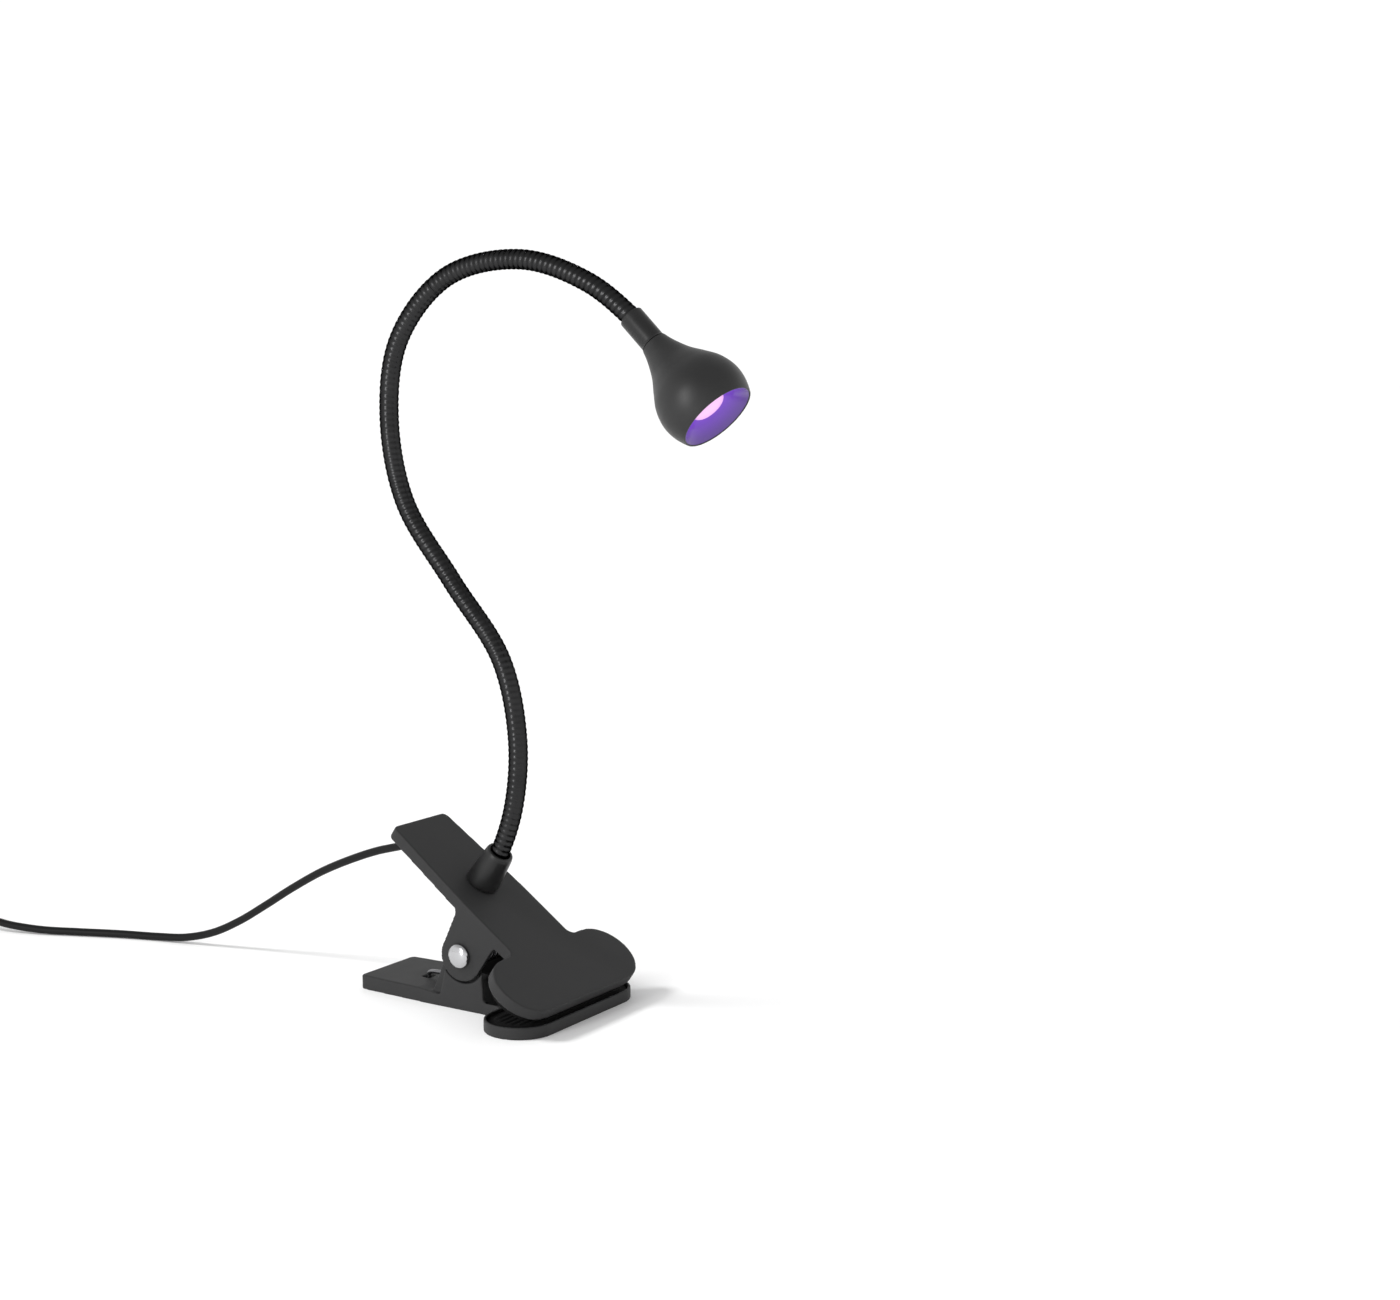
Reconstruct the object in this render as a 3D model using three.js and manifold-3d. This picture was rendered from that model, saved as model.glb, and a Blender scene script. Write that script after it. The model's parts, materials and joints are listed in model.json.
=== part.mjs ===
// A clip-on gooseneck UV curing lamp: a sprung two-lever clamp, a flexible steel neck,
// a bell-shaped LED head, and a USB lead with an inline push switch.
//
// Millimetres, +Z up. +X runs along the clamp from its handles to its jaws. The origin is on
// the surface that the clamp lies on, straight below the clamp's hinge pin.

import * as THREE from 'three';
import { mergeVertices } from 'three/addons/utils/BufferGeometryUtils.js';
import Module from 'manifold-3d';

const wasm = await Module();
wasm.setup();

// ---------- driving dimensions ----------

const GAP = 0.3;                       // clearance between pieces that touch
const RAD = Math.PI / 180;
const CLOSED_TILT = 34.75 * RAD;       // slope of the upper lever with the jaws shut

const PIN = { height: 20, radius: 2, bore: 2.3, head: 4.4, dome: 2.1 };

const LOWER = {
  end: -48.2, endHalf: 15, waistHalf: 16.4, waistFrom: -12, barX: 30.7, barR: 12.9, barHalf: 34.9,
  fillet: 3, corner: 2, thick: 4.2, recess: 2.2, rim: 1.1, handleThick: 5.2, rampFrom: -20, rampTo: -9,
};
const CHEEK = { inner: 12.4, outer: 14.4, skirt: 16.4, foot: -15, back: -10, front: 9.7, lug: 7 };
const SLIT = { width: 1.1, crestBack: 14, crestFront: 14.8 };   // between the ears and the skirts

const UPPER = {
  end: -50, endHalf: 14.8, waistHalf: 16.8, waistFrom: -10, barX: 30.1, barR: 12.6, barHalf: 36.1,
  fillet: 3, corner: 2.6, top: 17, thick: 4.4, skin: 2.4, wall: 2,
};
const EAR = { inner: 14.8, outer: 16.8, back: -9.9, front: 9.5, lug: 8.9, centre: 0.6 };
const UPPER_PAD_FACE = 9.4;            // height of the upper pad's gripping face above the pin line

const SPRING = { coil: 4.6, wire: 0.8, turns: 5.5, halfWidth: 6.4, upperLeg: -26 };
const SLOT = { x: -26, y: -2.5, length: 3.6, width: 4 };

const COLLAR = { u: -15.2, length: 15, baseR: 6.2, topR: 4.9 };
const STUD = { radius: 3.3, bore: 1.9, bottom: 8.6 };

const NECK = { radius: 3.5, bore: 1.95, lead: 1.4, joints: 7, endRun: 22, bend: 40 * RAD };
const NECK_XZ = [                      // centre line, from the collar's foot to inside the head
  [-2.8, 42.6], [5.5, 55], [12, 73], [13.8, 97], [7, 124], [-14.5, 150.5], [-35.5, 178],
  [-42, 208], [-37, 235], [-15.5, 256.5], [17, 262.2], [45, 254.3], [63.2, 242.2], [71.9, 233.9],
];

const HEAD = { x: 63.2, z: 242.2, pitch: 43.8 * RAD };
const SLEEVE = { length: 12, radius: 4.3 };
const BELL = [                         // outer profile: radius, distance along the head's axis
  [4.7, 12.3], [5.3, 14.5], [6.3, 17.3], [8.4, 22], [11.4, 26.8], [14, 31.3], [15.3, 35.7],
  [15.5, 38.7], [15.1, 41.8], [14.1, 44.9], [13.4, 46.4],
];
const BELL_WALL = 1.5;
const BOARD = { radius: 10.5, z: 33.6, thick: 1.4 };
const HEAT_SINK = { radius: 9.6, z: 27.6, plate: 2, fins: 5, fin: 1, finDepth: 3.4 };
const CUP = { mouthR: 11.3, footR: 6.8, wall: 0.8 };
const LENS = { radius: 6.2, side: 4.6, rise: 1.4 };

const CORD = 1.5;                      // radius of the lead
const FEED_UN = [                      // the lead under the upper lever: along it, height above the pin
  [-15.2, 8.3], [-15.5, 6.7], [-17, 4.9], [-20, 4.2], [-25, 5.6], [-30, 8.2], [-34.5, 9.7], [-38.85, 10],
];
const SADDLE = { u: -39, n: 10, length: 5, width: 7, bore: 1.9, wall: 1.3 };
const LAMP_CORD = [                    // from the saddle, over in a droop and along the floor
  [-27, 0, 50.8], [-31.4, 0, 52.6], [-36, 0, 52.6], [-41.5, 0, 51], [-52, 0, 48], [-65, 0, 43.1],
  [-79.5, 0, 36.6], [-94.5, -0.3, 28.2], [-108, -0.8, 19.8], [-121, -1.6, 12], [-134, -3, 5.8],
  [-147, -5.2, 2.4], [-160, -8.4, 1.6], [-175, -13.4, 1.6], [-191, -20, 1.6], [-206, -26.4, 1.8],
  [-220, -31, 3], [-229, -32.6, 4.4], [-237.5, -33, 5.2],
];
const SWITCH = { x: -266, y: -33, length: 46, width: 15, base: 5.5, height: 11, relief: 5, axisZ: 5.2 };
const BUTTON = { radius: 4, rise: 1.8, travel: 1.2 };
const COIL = { x: -318, y: -12.5, mean: 17.5, half: 4.6, foot: 1.1 };
const USB_CORD = [[-294.6, -33, 5.2], [-299, -33, 4.6], [-303, -33, 3.9], [-306.4, -33, 3.4]];
const USB_TAIL = [[-338.5, 1.2, 4.4], [-338.5, 3.8, 4.4], [-338.5, 6.4, 4.4], [-338.5, 8.7, 4.4]];
const PLUG = { y: 9, relief: 10, body: 20, bodyHalf: 7.8, bodyThick: 8, shell: 13, shellHalf: 6,
  shellThick: 4.5, sheet: 0.35, z: 4.4 };

// ---------- materials ----------

function material(color, roughness, metalness) {
  return new THREE.MeshStandardMaterial({ color, roughness, metalness });
}

const blackPlastic = material(0x343434, 0.62, 0);
const rubber = material(0x1d1d1d, 0.85, 0);
const chrome = material(0xd8d8d8, 0.15, 1);
const springSteel = material(0x8c8c8c, 0.35, 1);
const neckSteel = material(0x1f1f1f, 0.45, 0.6);
const blackMetal = material(0x2a2a2a, 0.4, 0.5);
const aluminium = material(0xb8babd, 0.4, 1);
const cordJacket = material(0x161616, 0.55, 0);
const violetCup = material(0x6b4fd0, 0.3, 0.2);
const lensResin = material(0xf0b8f0, 0.15, 0);
const boardWhite = material(0xe6e6e6, 0.5, 0);

// ---------- solids, joined and cut ----------

function toSolid(geometry) {
  const bare = geometry.index ? geometry.toNonIndexed() : geometry.clone();
  bare.deleteAttribute('normal');
  bare.deleteAttribute('uv');
  const merged = mergeVertices(bare, 1e-4);
  return new wasm.Manifold(new wasm.Mesh({
    numProp: 3,
    vertProperties: new Float32Array(merged.attributes.position.array),
    triVerts: new Uint32Array(merged.index.array),
  }));
}

function toGeometry(solid) {
  const mesh = solid.getMesh();
  const geometry = new THREE.BufferGeometry();
  geometry.setAttribute('position', new THREE.BufferAttribute(mesh.vertProperties, 3));
  geometry.setIndex(new THREE.BufferAttribute(mesh.triVerts, 1));
  geometry.computeVertexNormals();
  return geometry;
}

function combine(added, removed = []) {
  const [first, ...others] = added;
  let result = toSolid(first);
  for (const geometry of others) {
    result = result.add(toSolid(geometry));
  }
  for (const geometry of removed) {
    result = result.subtract(toSolid(geometry));
  }
  return toGeometry(result);
}

// ---------- basic shapes ----------

function extrudeZ(shape, low, high, curveSegments = 6) {
  const options = { depth: high - low, bevelEnabled: false, curveSegments };
  return new THREE.ExtrudeGeometry(shape, options).translate(0, 0, low);
}

// A shape drawn in X and Z, given thickness along Y.
function extrudeY(shape, low, high, curveSegments = 6) {
  const options = { depth: high - low, bevelEnabled: false, curveSegments };
  return new THREE.ExtrudeGeometry(shape, options).rotateX(Math.PI / 2).translate(0, high, 0);
}

function box(x, y, z) {
  const size = [x[1] - x[0], y[1] - y[0], z[1] - z[0]];
  return new THREE.BoxGeometry(...size).translate((x[0] + x[1]) / 2, (y[0] + y[1]) / 2, (z[0] + z[1]) / 2);
}

// A body of revolution about Z from [radius, height] points.
function turned(profile, sides = 24) {
  const points = profile.map(([radius, height]) => new THREE.Vector2(radius, height));
  return new THREE.LatheGeometry(points, sides).rotateX(Math.PI / 2);
}

function rod(radius, low, high, sides = 24) {
  return new THREE.CylinderGeometry(radius, radius, high - low, sides)
    .rotateX(Math.PI / 2).translate(0, 0, (low + high) / 2);
}

function rodAlongY(radius, low, high, sides = 24) {
  return new THREE.CylinderGeometry(radius, radius, high - low, sides).translate(0, (low + high) / 2, 0);
}

function ring(outer, inner, low, high, sides = 24) {
  return turned([[inner, low], [outer, low], [outer, high], [inner, high], [inner, low]], sides);
}

function roundedBar(centreX, radius, half, inset = 0) {
  const r = radius - inset;
  const run = half - radius;
  const shape = new THREE.Shape();
  shape.absarc(centreX, run, r, 0, Math.PI, false);
  shape.absarc(centreX, -run, r, Math.PI, 2 * Math.PI, false);
  shape.closePath();
  return shape;
}

function roundedRect(width, height, radius) {
  const w = width / 2 - radius;
  const h = height / 2 - radius;
  const shape = new THREE.Shape();
  shape.absarc(w, h, radius, 0, Math.PI / 2, false);
  shape.absarc(-w, h, radius, Math.PI / 2, Math.PI, false);
  shape.absarc(-w, -h, radius, Math.PI, 1.5 * Math.PI, false);
  shape.absarc(w, -h, radius, 1.5 * Math.PI, 2 * Math.PI, false);
  shape.closePath();
  return shape;
}

// ---------- curves ----------

function smooth(points) {
  const curve = new THREE.CatmullRomCurve3(points, false, 'centripetal');
  curve.arcLengthDivisions = 600;
  return curve;
}

// The stretch of a curve between two distances along it.
class Stretch extends THREE.Curve {
  constructor(curve, from, to) {
    super();
    this.curve = curve;
    this.from = from / curve.getLength();
    this.to = to / curve.getLength();
  }

  getPoint(t, target = new THREE.Vector3()) {
    return this.curve.getPointAt(this.from + (this.to - this.from) * t, target);
  }
}

function sweep(curve, radius, steps, sides, bore = 0) {
  const section = new THREE.Shape().absarc(0, 0, radius, 0, 2 * Math.PI, false);
  if (bore > 0) {
    section.holes.push(new THREE.Path().absarc(0, 0, bore, 0, 2 * Math.PI, true));
  }
  const options = { steps, extrudePath: curve, bevelEnabled: false, curveSegments: sides / 2 };
  return new THREE.ExtrudeGeometry(section, options);
}

// ---------- the assembly ----------

const lamp = new THREE.Group();

const upperFrame = new THREE.Group();  // turns with the upper lever: X along it, Z off its face
upperFrame.position.set(0, 0, PIN.height);
upperFrame.rotation.y = CLOSED_TILT;
lamp.add(upperFrame);

const headFrame = new THREE.Group();   // Z along the head's axis, out of its mouth
headFrame.position.set(HEAD.x, 0, HEAD.z);
headFrame.rotation.y = Math.PI / 2 + HEAD.pitch;
lamp.add(headFrame);

function addPiece(parent, name, geometry, finish) {
  const mesh = new THREE.Mesh(geometry, finish);
  mesh.name = name;
  parent.add(mesh);
  return mesh;
}

// ---------- clamp levers ----------

// A lever from above: a straight handle that runs into a cross bar with round ends.
function leverOutline(d, inset = 0) {
  const end = d.end + inset;
  const endHalf = d.endHalf - inset;
  const waist = d.waistHalf - inset;
  const r = d.barR - inset;
  const run = d.barHalf - d.barR;
  const fillet = d.fillet + inset;
  const corner = Math.max(d.corner - inset, 0.5);
  const back = d.barX - r;
  const shape = new THREE.Shape();
  shape.moveTo(end, -endHalf + corner);
  shape.absarc(end + corner, -endHalf + corner, corner, Math.PI, 1.5 * Math.PI, false);
  shape.lineTo(d.waistFrom, -waist);
  shape.lineTo(back - fillet, -waist);
  shape.absarc(back - fillet, -waist - fillet, fillet, Math.PI / 2, 0, true);
  shape.absarc(d.barX, -run, r, Math.PI, 2 * Math.PI, false);
  shape.absarc(d.barX, run, r, 0, Math.PI, false);
  shape.absarc(back - fillet, waist + fillet, fillet, 0, -Math.PI / 2, true);
  shape.lineTo(d.waistFrom, waist);
  shape.absarc(end + corner, endHalf - corner, corner, Math.PI / 2, Math.PI, false);
  shape.closePath();
  return shape;
}

// The inner layer of a lower cheek: a wall up to a round lug about the pin.
function cheekOutline() {
  const low = LOWER.thick - 0.5;
  const shape = new THREE.Shape();
  shape.moveTo(CHEEK.foot, low);
  shape.lineTo(CHEEK.front, low);
  shape.lineTo(CHEEK.lug + 0.6, PIN.height - 3);
  shape.absarc(0, PIN.height, CHEEK.lug, -10 * RAD, 170 * RAD, false);
  shape.closePath();
  return shape;
}

// The outer layer, level with the ears, with a hollow that leaves a slit round the ear's lug.
function skirtOutline() {
  const low = LOWER.thick - 0.5;
  const shape = new THREE.Shape();
  const hollow = EAR.lug + SLIT.width;
  const from = Math.asin((SLIT.crestFront - PIN.height) / hollow);
  const to = -Math.PI - Math.asin((SLIT.crestBack - PIN.height) / hollow);
  shape.moveTo(CHEEK.back, low);
  shape.lineTo(CHEEK.front + 1.6, low);
  shape.quadraticCurveTo(CHEEK.front, low + 0.6, CHEEK.front, low + 2.4);
  shape.lineTo(CHEEK.front, SLIT.crestFront);
  shape.absarc(EAR.centre, PIN.height, hollow, from, to, true);
  shape.closePath();
  return shape;
}

function earOutline() {
  const root = UPPER.top - UPPER.thick + 1;
  const shape = new THREE.Shape();
  shape.moveTo(EAR.back - 3, root);
  shape.quadraticCurveTo(EAR.back, root - 1, EAR.back, root - 4);
  shape.absarc(EAR.centre, 0, EAR.lug, Math.PI, 2 * Math.PI, false);
  shape.lineTo(EAR.front, root - 4);
  shape.lineTo(EAR.front + 0.6, root);
  shape.closePath();
  return shape;
}

function pinBore(height) {
  return rodAlongY(PIN.bore, -25, 25).translate(0, 0, height);
}

function buildLowerLever() {
  const plate = extrudeZ(leverOutline(LOWER), 0, LOWER.handleThick);
  const ramp = new THREE.Shape();
  ramp.moveTo(LOWER.rampFrom, LOWER.handleThick + 1);
  ramp.lineTo(LOWER.rampFrom, LOWER.handleThick);
  ramp.lineTo(LOWER.rampTo, LOWER.thick);
  ramp.lineTo(LOWER.barX + 20, LOWER.thick);
  ramp.lineTo(LOWER.barX + 20, LOWER.handleThick + 1);
  ramp.closePath();
  const lowering = extrudeY(ramp, -LOWER.barHalf - 1, LOWER.barHalf + 1);
  const cheek = cheekOutline();
  const skirt = skirtOutline();
  const cheeks = [
    extrudeY(cheek, CHEEK.inner, CHEEK.outer),
    extrudeY(cheek, -CHEEK.outer, -CHEEK.inner),
    extrudeY(skirt, CHEEK.outer - 0.2, CHEEK.skirt),
    extrudeY(skirt, -CHEEK.skirt, 0.2 - CHEEK.outer),
  ];
  const padSeat = extrudeZ(roundedBar(LOWER.barX, LOWER.barR, LOWER.barHalf, LOWER.rim),
    LOWER.thick - LOWER.recess, LOWER.thick + 1);
  const slot = box([SLOT.x - SLOT.length / 2, SLOT.x + SLOT.length / 2],
    [SLOT.y - SLOT.width / 2, SLOT.y + SLOT.width / 2],
    [LOWER.handleThick - 2.6, LOWER.handleThick + 1]);
  const lowered = combine([plate], [lowering]);
  addPiece(lamp, 'lower_lever', combine([lowered, ...cheeks], [padSeat, slot, pinBore(PIN.height)]),
    blackPlastic);

  const inset = LOWER.rim + GAP;
  addPiece(lamp, 'lower_jaw_pad', extrudeZ(roundedBar(LOWER.barX, LOWER.barR, LOWER.barHalf, inset),
    LOWER.thick - LOWER.recess + GAP, LOWER.thick + 0.1), rubber);
}

function buildUpperLever() {
  const under = UPPER.top - UPPER.thick;
  const ceiling = UPPER.top - UPPER.skin;
  const slab = extrudeZ(leverOutline(UPPER), under, UPPER.top);
  const channel = extrudeZ(leverOutline(UPPER, UPPER.wall), under - 1, ceiling);
  const ear = earOutline();
  const ears = [extrudeY(ear, EAR.inner, EAR.outer), extrudeY(ear, -EAR.outer, -EAR.inner)];
  const studHole = rod(STUD.radius + GAP, ceiling - 1, UPPER.top + 1).translate(COLLAR.u, 0, 0);
  addPiece(upperFrame, 'upper_lever', combine([slab, ...ears], [channel, studHole, pinBore(0)]),
    blackPlastic);

  const inset = UPPER.wall + GAP;
  addPiece(upperFrame, 'upper_jaw_pad', extrudeZ(roundedBar(UPPER.barX, UPPER.barR, UPPER.barHalf, inset),
    UPPER_PAD_FACE, ceiling - GAP), rubber);
}

function dome(radius, height, base, steps = 4) {
  const points = [[0, base], [radius, base]];
  for (let i = 1; i <= steps; i += 1) {
    const angle = (i / steps) * Math.PI / 2;
    const last = i === steps;
    points.push([last ? 0 : radius * Math.cos(angle), base + 0.4 + height * Math.sin(angle)]);
  }
  return points;
}

function buildHingePin() {
  const faceY = EAR.outer + GAP;
  const shank = rodAlongY(PIN.radius, -faceY - 0.2, faceY + 1, 20).translate(0, 0, PIN.height);
  const head = turned(dome(PIN.head, PIN.dome - 0.4, 0)).rotateX(Math.PI / 2)
    .translate(0, -faceY, PIN.height);
  addPiece(lamp, 'hinge_pin', combine([shank, head]), chrome);

  const cap = turned(dome(PIN.head, PIN.dome - 0.4, 0)).rotateX(-Math.PI / 2)
    .translate(0, faceY, PIN.height);
  const socket = rodAlongY(PIN.radius + GAP, faceY - 1, faceY + 1 + GAP, 20).translate(0, 0, PIN.height);
  addPiece(lamp, 'pin_push_cap', combine([cap], [socket]), chrome);
}

// One wire: a leg on the lower handle, the coil round the pin, a leg under the upper handle.
function buildSpring() {
  const points = [];
  const wire = SPRING.wire;
  const add = (x, y, z) => points.push(new THREE.Vector3(x, y, z));
  add(SLOT.x, SLOT.y, LOWER.handleThick - 0.8);
  add(SLOT.x + 0.4, SLOT.y - 0.2, LOWER.handleThick + wire + 0.5);
  add(SLOT.x * 0.45, -SPRING.halfWidth + 0.6, (LOWER.thick + PIN.height - SPRING.coil) / 2 - 0.4);
  const stepsPerTurn = 12;
  const total = Math.round(SPRING.turns * stepsPerTurn);
  const startAngle = -90 * RAD;
  for (let i = 0; i <= total; i += 1) {
    const angle = startAngle + (i / stepsPerTurn) * 2 * Math.PI;
    const y = -SPRING.halfWidth + (i / total) * 2 * SPRING.halfWidth;
    add(SPRING.coil * Math.cos(angle), y, PIN.height + SPRING.coil * Math.sin(angle));
  }
  const ceiling = UPPER.top - UPPER.skin - GAP - wire;
  const toWorld = (u, n) => [
    u * Math.cos(CLOSED_TILT) + n * Math.sin(CLOSED_TILT),
    PIN.height - u * Math.sin(CLOSED_TILT) + n * Math.cos(CLOSED_TILT),
  ];
  for (const [u, n] of [[SPRING.upperLeg / 2, ceiling - 4.4], [SPRING.upperLeg, ceiling]]) {
    const [x, z] = toWorld(u, n);
    add(x, SPRING.halfWidth, z);
  }
  addPiece(lamp, 'torsion_spring', sweep(smooth(points), wire, total + 14, 6), springSteel);
}

// ---------- neck mount ----------

function buildNeckMount() {
  const at = (geometry) => geometry.translate(COLLAR.u, 0, 0);
  const foot = UPPER.top + GAP;
  const crown = UPPER.top + COLLAR.length;
  const collar = turned([
    [STUD.radius + GAP, foot], [COLLAR.baseR, foot], [COLLAR.baseR, foot + 1.2],
    [COLLAR.topR + 0.3, crown - 1.6], [COLLAR.topR, crown - 0.4], [COLLAR.topR - 0.5, crown],
    [NECK.radius + GAP, crown], [NECK.radius + GAP, foot + 7], [NECK.bore, foot + 7],
    [NECK.bore, foot + 4.6], [STUD.radius + GAP, foot + 4.6], [STUD.radius + GAP, foot],
  ]);
  addPiece(upperFrame, 'neck_collar', at(collar), blackMetal);

  const stud = ring(STUD.radius, STUD.bore, STUD.bottom, foot + 4.3, 20);
  addPiece(upperFrame, 'mount_stud', at(stud), springSteel);

  const ceiling = UPPER.top - UPPER.skin - GAP;
  const washer = ring(6.4, STUD.radius + GAP, ceiling - 0.9, ceiling);
  addPiece(upperFrame, 'mount_washer', at(washer), springSteel);

  const nutTop = ceiling - 0.9 - GAP;
  const nut = combine([rod(5.6, nutTop - 3, nutTop, 6)], [rod(STUD.radius + GAP, nutTop - 4, nutTop + 1, 20)]);
  addPiece(upperFrame, 'mount_nut', at(nut), springSteel);
}

// The lead leaves the hollow stud, turns towards the handle and passes through a saddle clip.
function buildLeadFeed() {
  const points = FEED_UN.map(([u, n]) => new THREE.Vector3(u, 0, n));
  addPiece(upperFrame, 'lead_feed', sweep(smooth(points), CORD, 16, 8), cordJacket);

  const ceiling = UPPER.top - UPPER.skin - GAP;
  const halfLength = SADDLE.length / 2;
  const block = box([SADDLE.u - halfLength, SADDLE.u + halfLength], [-SADDLE.width / 2, SADDLE.width / 2],
    [SADDLE.n - SADDLE.bore - SADDLE.wall, ceiling]);
  const hole = new THREE.CylinderGeometry(SADDLE.bore, SADDLE.bore, SADDLE.length + 4, 16)
    .rotateZ(Math.PI / 2).translate(SADDLE.u, 0, SADDLE.n);
  addPiece(upperFrame, 'cable_saddle', combine([block], [hole]), blackPlastic);
}

// ---------- gooseneck ----------

// The neck bends at evenly spaced stations. Its armour and the lead inside are cut short of each
// station by what a full bend needs, so that neighbouring pieces never meet.
function buildGooseneck() {
  const curve = smooth(NECK_XZ.map(([x, z]) => new THREE.Vector3(x, 0, z)));
  const sleeveMouth = curve.getLength() - SLEEVE.length;
  const first = COLLAR.length + NECK.endRun;
  const last = sleeveMouth - NECK.endRun;
  const stations = [];
  for (let i = 0; i < NECK.joints; i += 1) {
    stations.push(first + ((last - first) * i) / (NECK.joints - 1));
  }
  const relief = (radius) => radius * Math.tan(NECK.bend / 2) + GAP;
  const cuts = (radius, start, end) => {
    const gap = relief(radius);
    const spans = [];
    let from = start;
    for (const station of stations) {
      spans.push([from, station - gap]);
      from = station + gap;
    }
    spans.push([from, end]);
    return spans;
  };
  cuts(NECK.radius, 8, sleeveMouth + 7).forEach(([from, to], i) => {
    const armour = sweep(new Stretch(curve, from, to), NECK.radius, 8, 12, NECK.bore);
    addPiece(lamp, `neck_armour_${i + 1}`, armour, neckSteel);
  });
  cuts(NECK.lead, 5.4, sleeveMouth + 9).forEach(([from, to], i) => {
    const lead = sweep(new Stretch(curve, from, to), NECK.lead, 6, 8);
    addPiece(lamp, `neck_lead_${i + 1}`, lead, cordJacket);
  });
}

// ---------- head ----------

function buildHead() {
  const sleeve = turned([
    [NECK.radius + GAP, -0.5], [SLEEVE.radius, -0.5], [SLEEVE.radius, SLEEVE.length - 0.4],
    [SLEEVE.radius + 0.3, SLEEVE.length], [2.2, SLEEVE.length], [2.2, 8], [NECK.radius + GAP, 8],
    [NECK.radius + GAP, -0.5],
  ]);
  addPiece(headFrame, 'neck_sleeve', sleeve, blackMetal);

  const inner = BELL.slice(3).map(([r, z]) => [r - BELL_WALL, z]).reverse();
  const shell = turned([...BELL, ...inner, [6.4, BELL[3][1] - 1], [2.2, BELL[3][1] - 1], [2.2, BELL[0][1]],
    BELL[0]], 28);
  addPiece(headFrame, 'bell_shell', shell, blackPlastic);

  const plateTop = BOARD.z - GAP;
  const sinkPlate = rod(HEAT_SINK.radius, plateTop - HEAT_SINK.plate, plateTop);
  const fins = [];
  for (let i = 0; i < HEAT_SINK.fins; i += 1) {
    const x = (i - (HEAT_SINK.fins - 1) / 2) * 2.8;
    const half = Math.sqrt((HEAT_SINK.radius - 1.6) ** 2 - x * x) - 1.4;
    const finTop = plateTop - HEAT_SINK.plate + 0.2;
    fins.push(box([x - HEAT_SINK.fin / 2, x + HEAT_SINK.fin / 2], [-half, half],
      [finTop - HEAT_SINK.finDepth, finTop]));
  }
  addPiece(headFrame, 'heat_sink', combine([sinkPlate, ...fins]), aluminium);

  addPiece(headFrame, 'led_board', rod(BOARD.radius, BOARD.z, BOARD.z + BOARD.thick), boardWhite);

  const boardTop = BOARD.z + BOARD.thick + GAP;
  const chipTop = boardTop + 1.2;
  addPiece(headFrame, 'led_package', box([-2.5, 2.5], [-2.5, 2.5], [boardTop, chipTop]), boardWhite);

  const lensFoot = chipTop + GAP;
  const lensSide = lensFoot + LENS.side;
  const lens = turned([[0, lensFoot], [LENS.radius, lensFoot], [LENS.radius, lensSide],
    [LENS.radius - 0.8, lensSide + LENS.rise * 0.6], [LENS.radius / 2, lensSide + LENS.rise * 0.92],
    [0, lensSide + LENS.rise]]);
  addPiece(headFrame, 'led_lens', lens, lensResin);

  const mouth = BELL[BELL.length - 1][1] - 0.8;
  const outerCup = [[CUP.footR + CUP.wall, boardTop], [CUP.footR + 1.9, boardTop + 3.4],
    [CUP.mouthR - 0.4, mouth - 3], [CUP.mouthR, mouth]];
  const innerCup = outerCup.map(([r, z]) => [r - CUP.wall, z]).reverse();
  addPiece(headFrame, 'reflector_cup', turned([...outerCup, ...innerCup, outerCup[0]], 28), violetCup);
}

// ---------- lead, inline switch and USB plug ----------

function buildCord(name, points, steps) {
  const curve = smooth(points.map((p) => new THREE.Vector3(...p)));
  addPiece(lamp, name, sweep(curve, CORD, steps, 8), cordJacket);
}

function buildCoil() {
  const { mean, half, foot } = COIL;
  const mid = foot + half;
  const chamfer = 1.2;
  const section = [
    [-half, -half + chamfer], [-half + chamfer, -half], [half - chamfer, -half], [half, -half + chamfer],
    [half, half - chamfer], [half - chamfer, half], [-half + chamfer, half], [-half, half - chamfer],
    [-half, -half + chamfer],
  ].map(([r, z]) => [mean + r, mid + z]);
  addPiece(lamp, 'cord_coil', turned(section, 32).translate(COIL.x, COIL.y, 0), cordJacket);

  const tieInner = half + GAP;
  const tieOuter = tieInner + 0.7;
  const band = combine(
    [box([-tieOuter, tieOuter], [-2, 2], [-tieOuter, tieOuter])],
    [box([-tieInner, tieInner], [-3, 3], [-tieInner, tieInner])],
  );
  band.translate(mean, 0, mid).rotateZ(20 * RAD).translate(COIL.x, COIL.y, 0);
  addPiece(lamp, 'coil_tie', band, blackPlastic);
}

function relief(wide, narrow, length) {
  return turned([[CORD + GAP, 0], [wide, 0], [narrow, length], [CORD + GAP, length], [CORD + GAP, 0]], 16);
}

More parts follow.
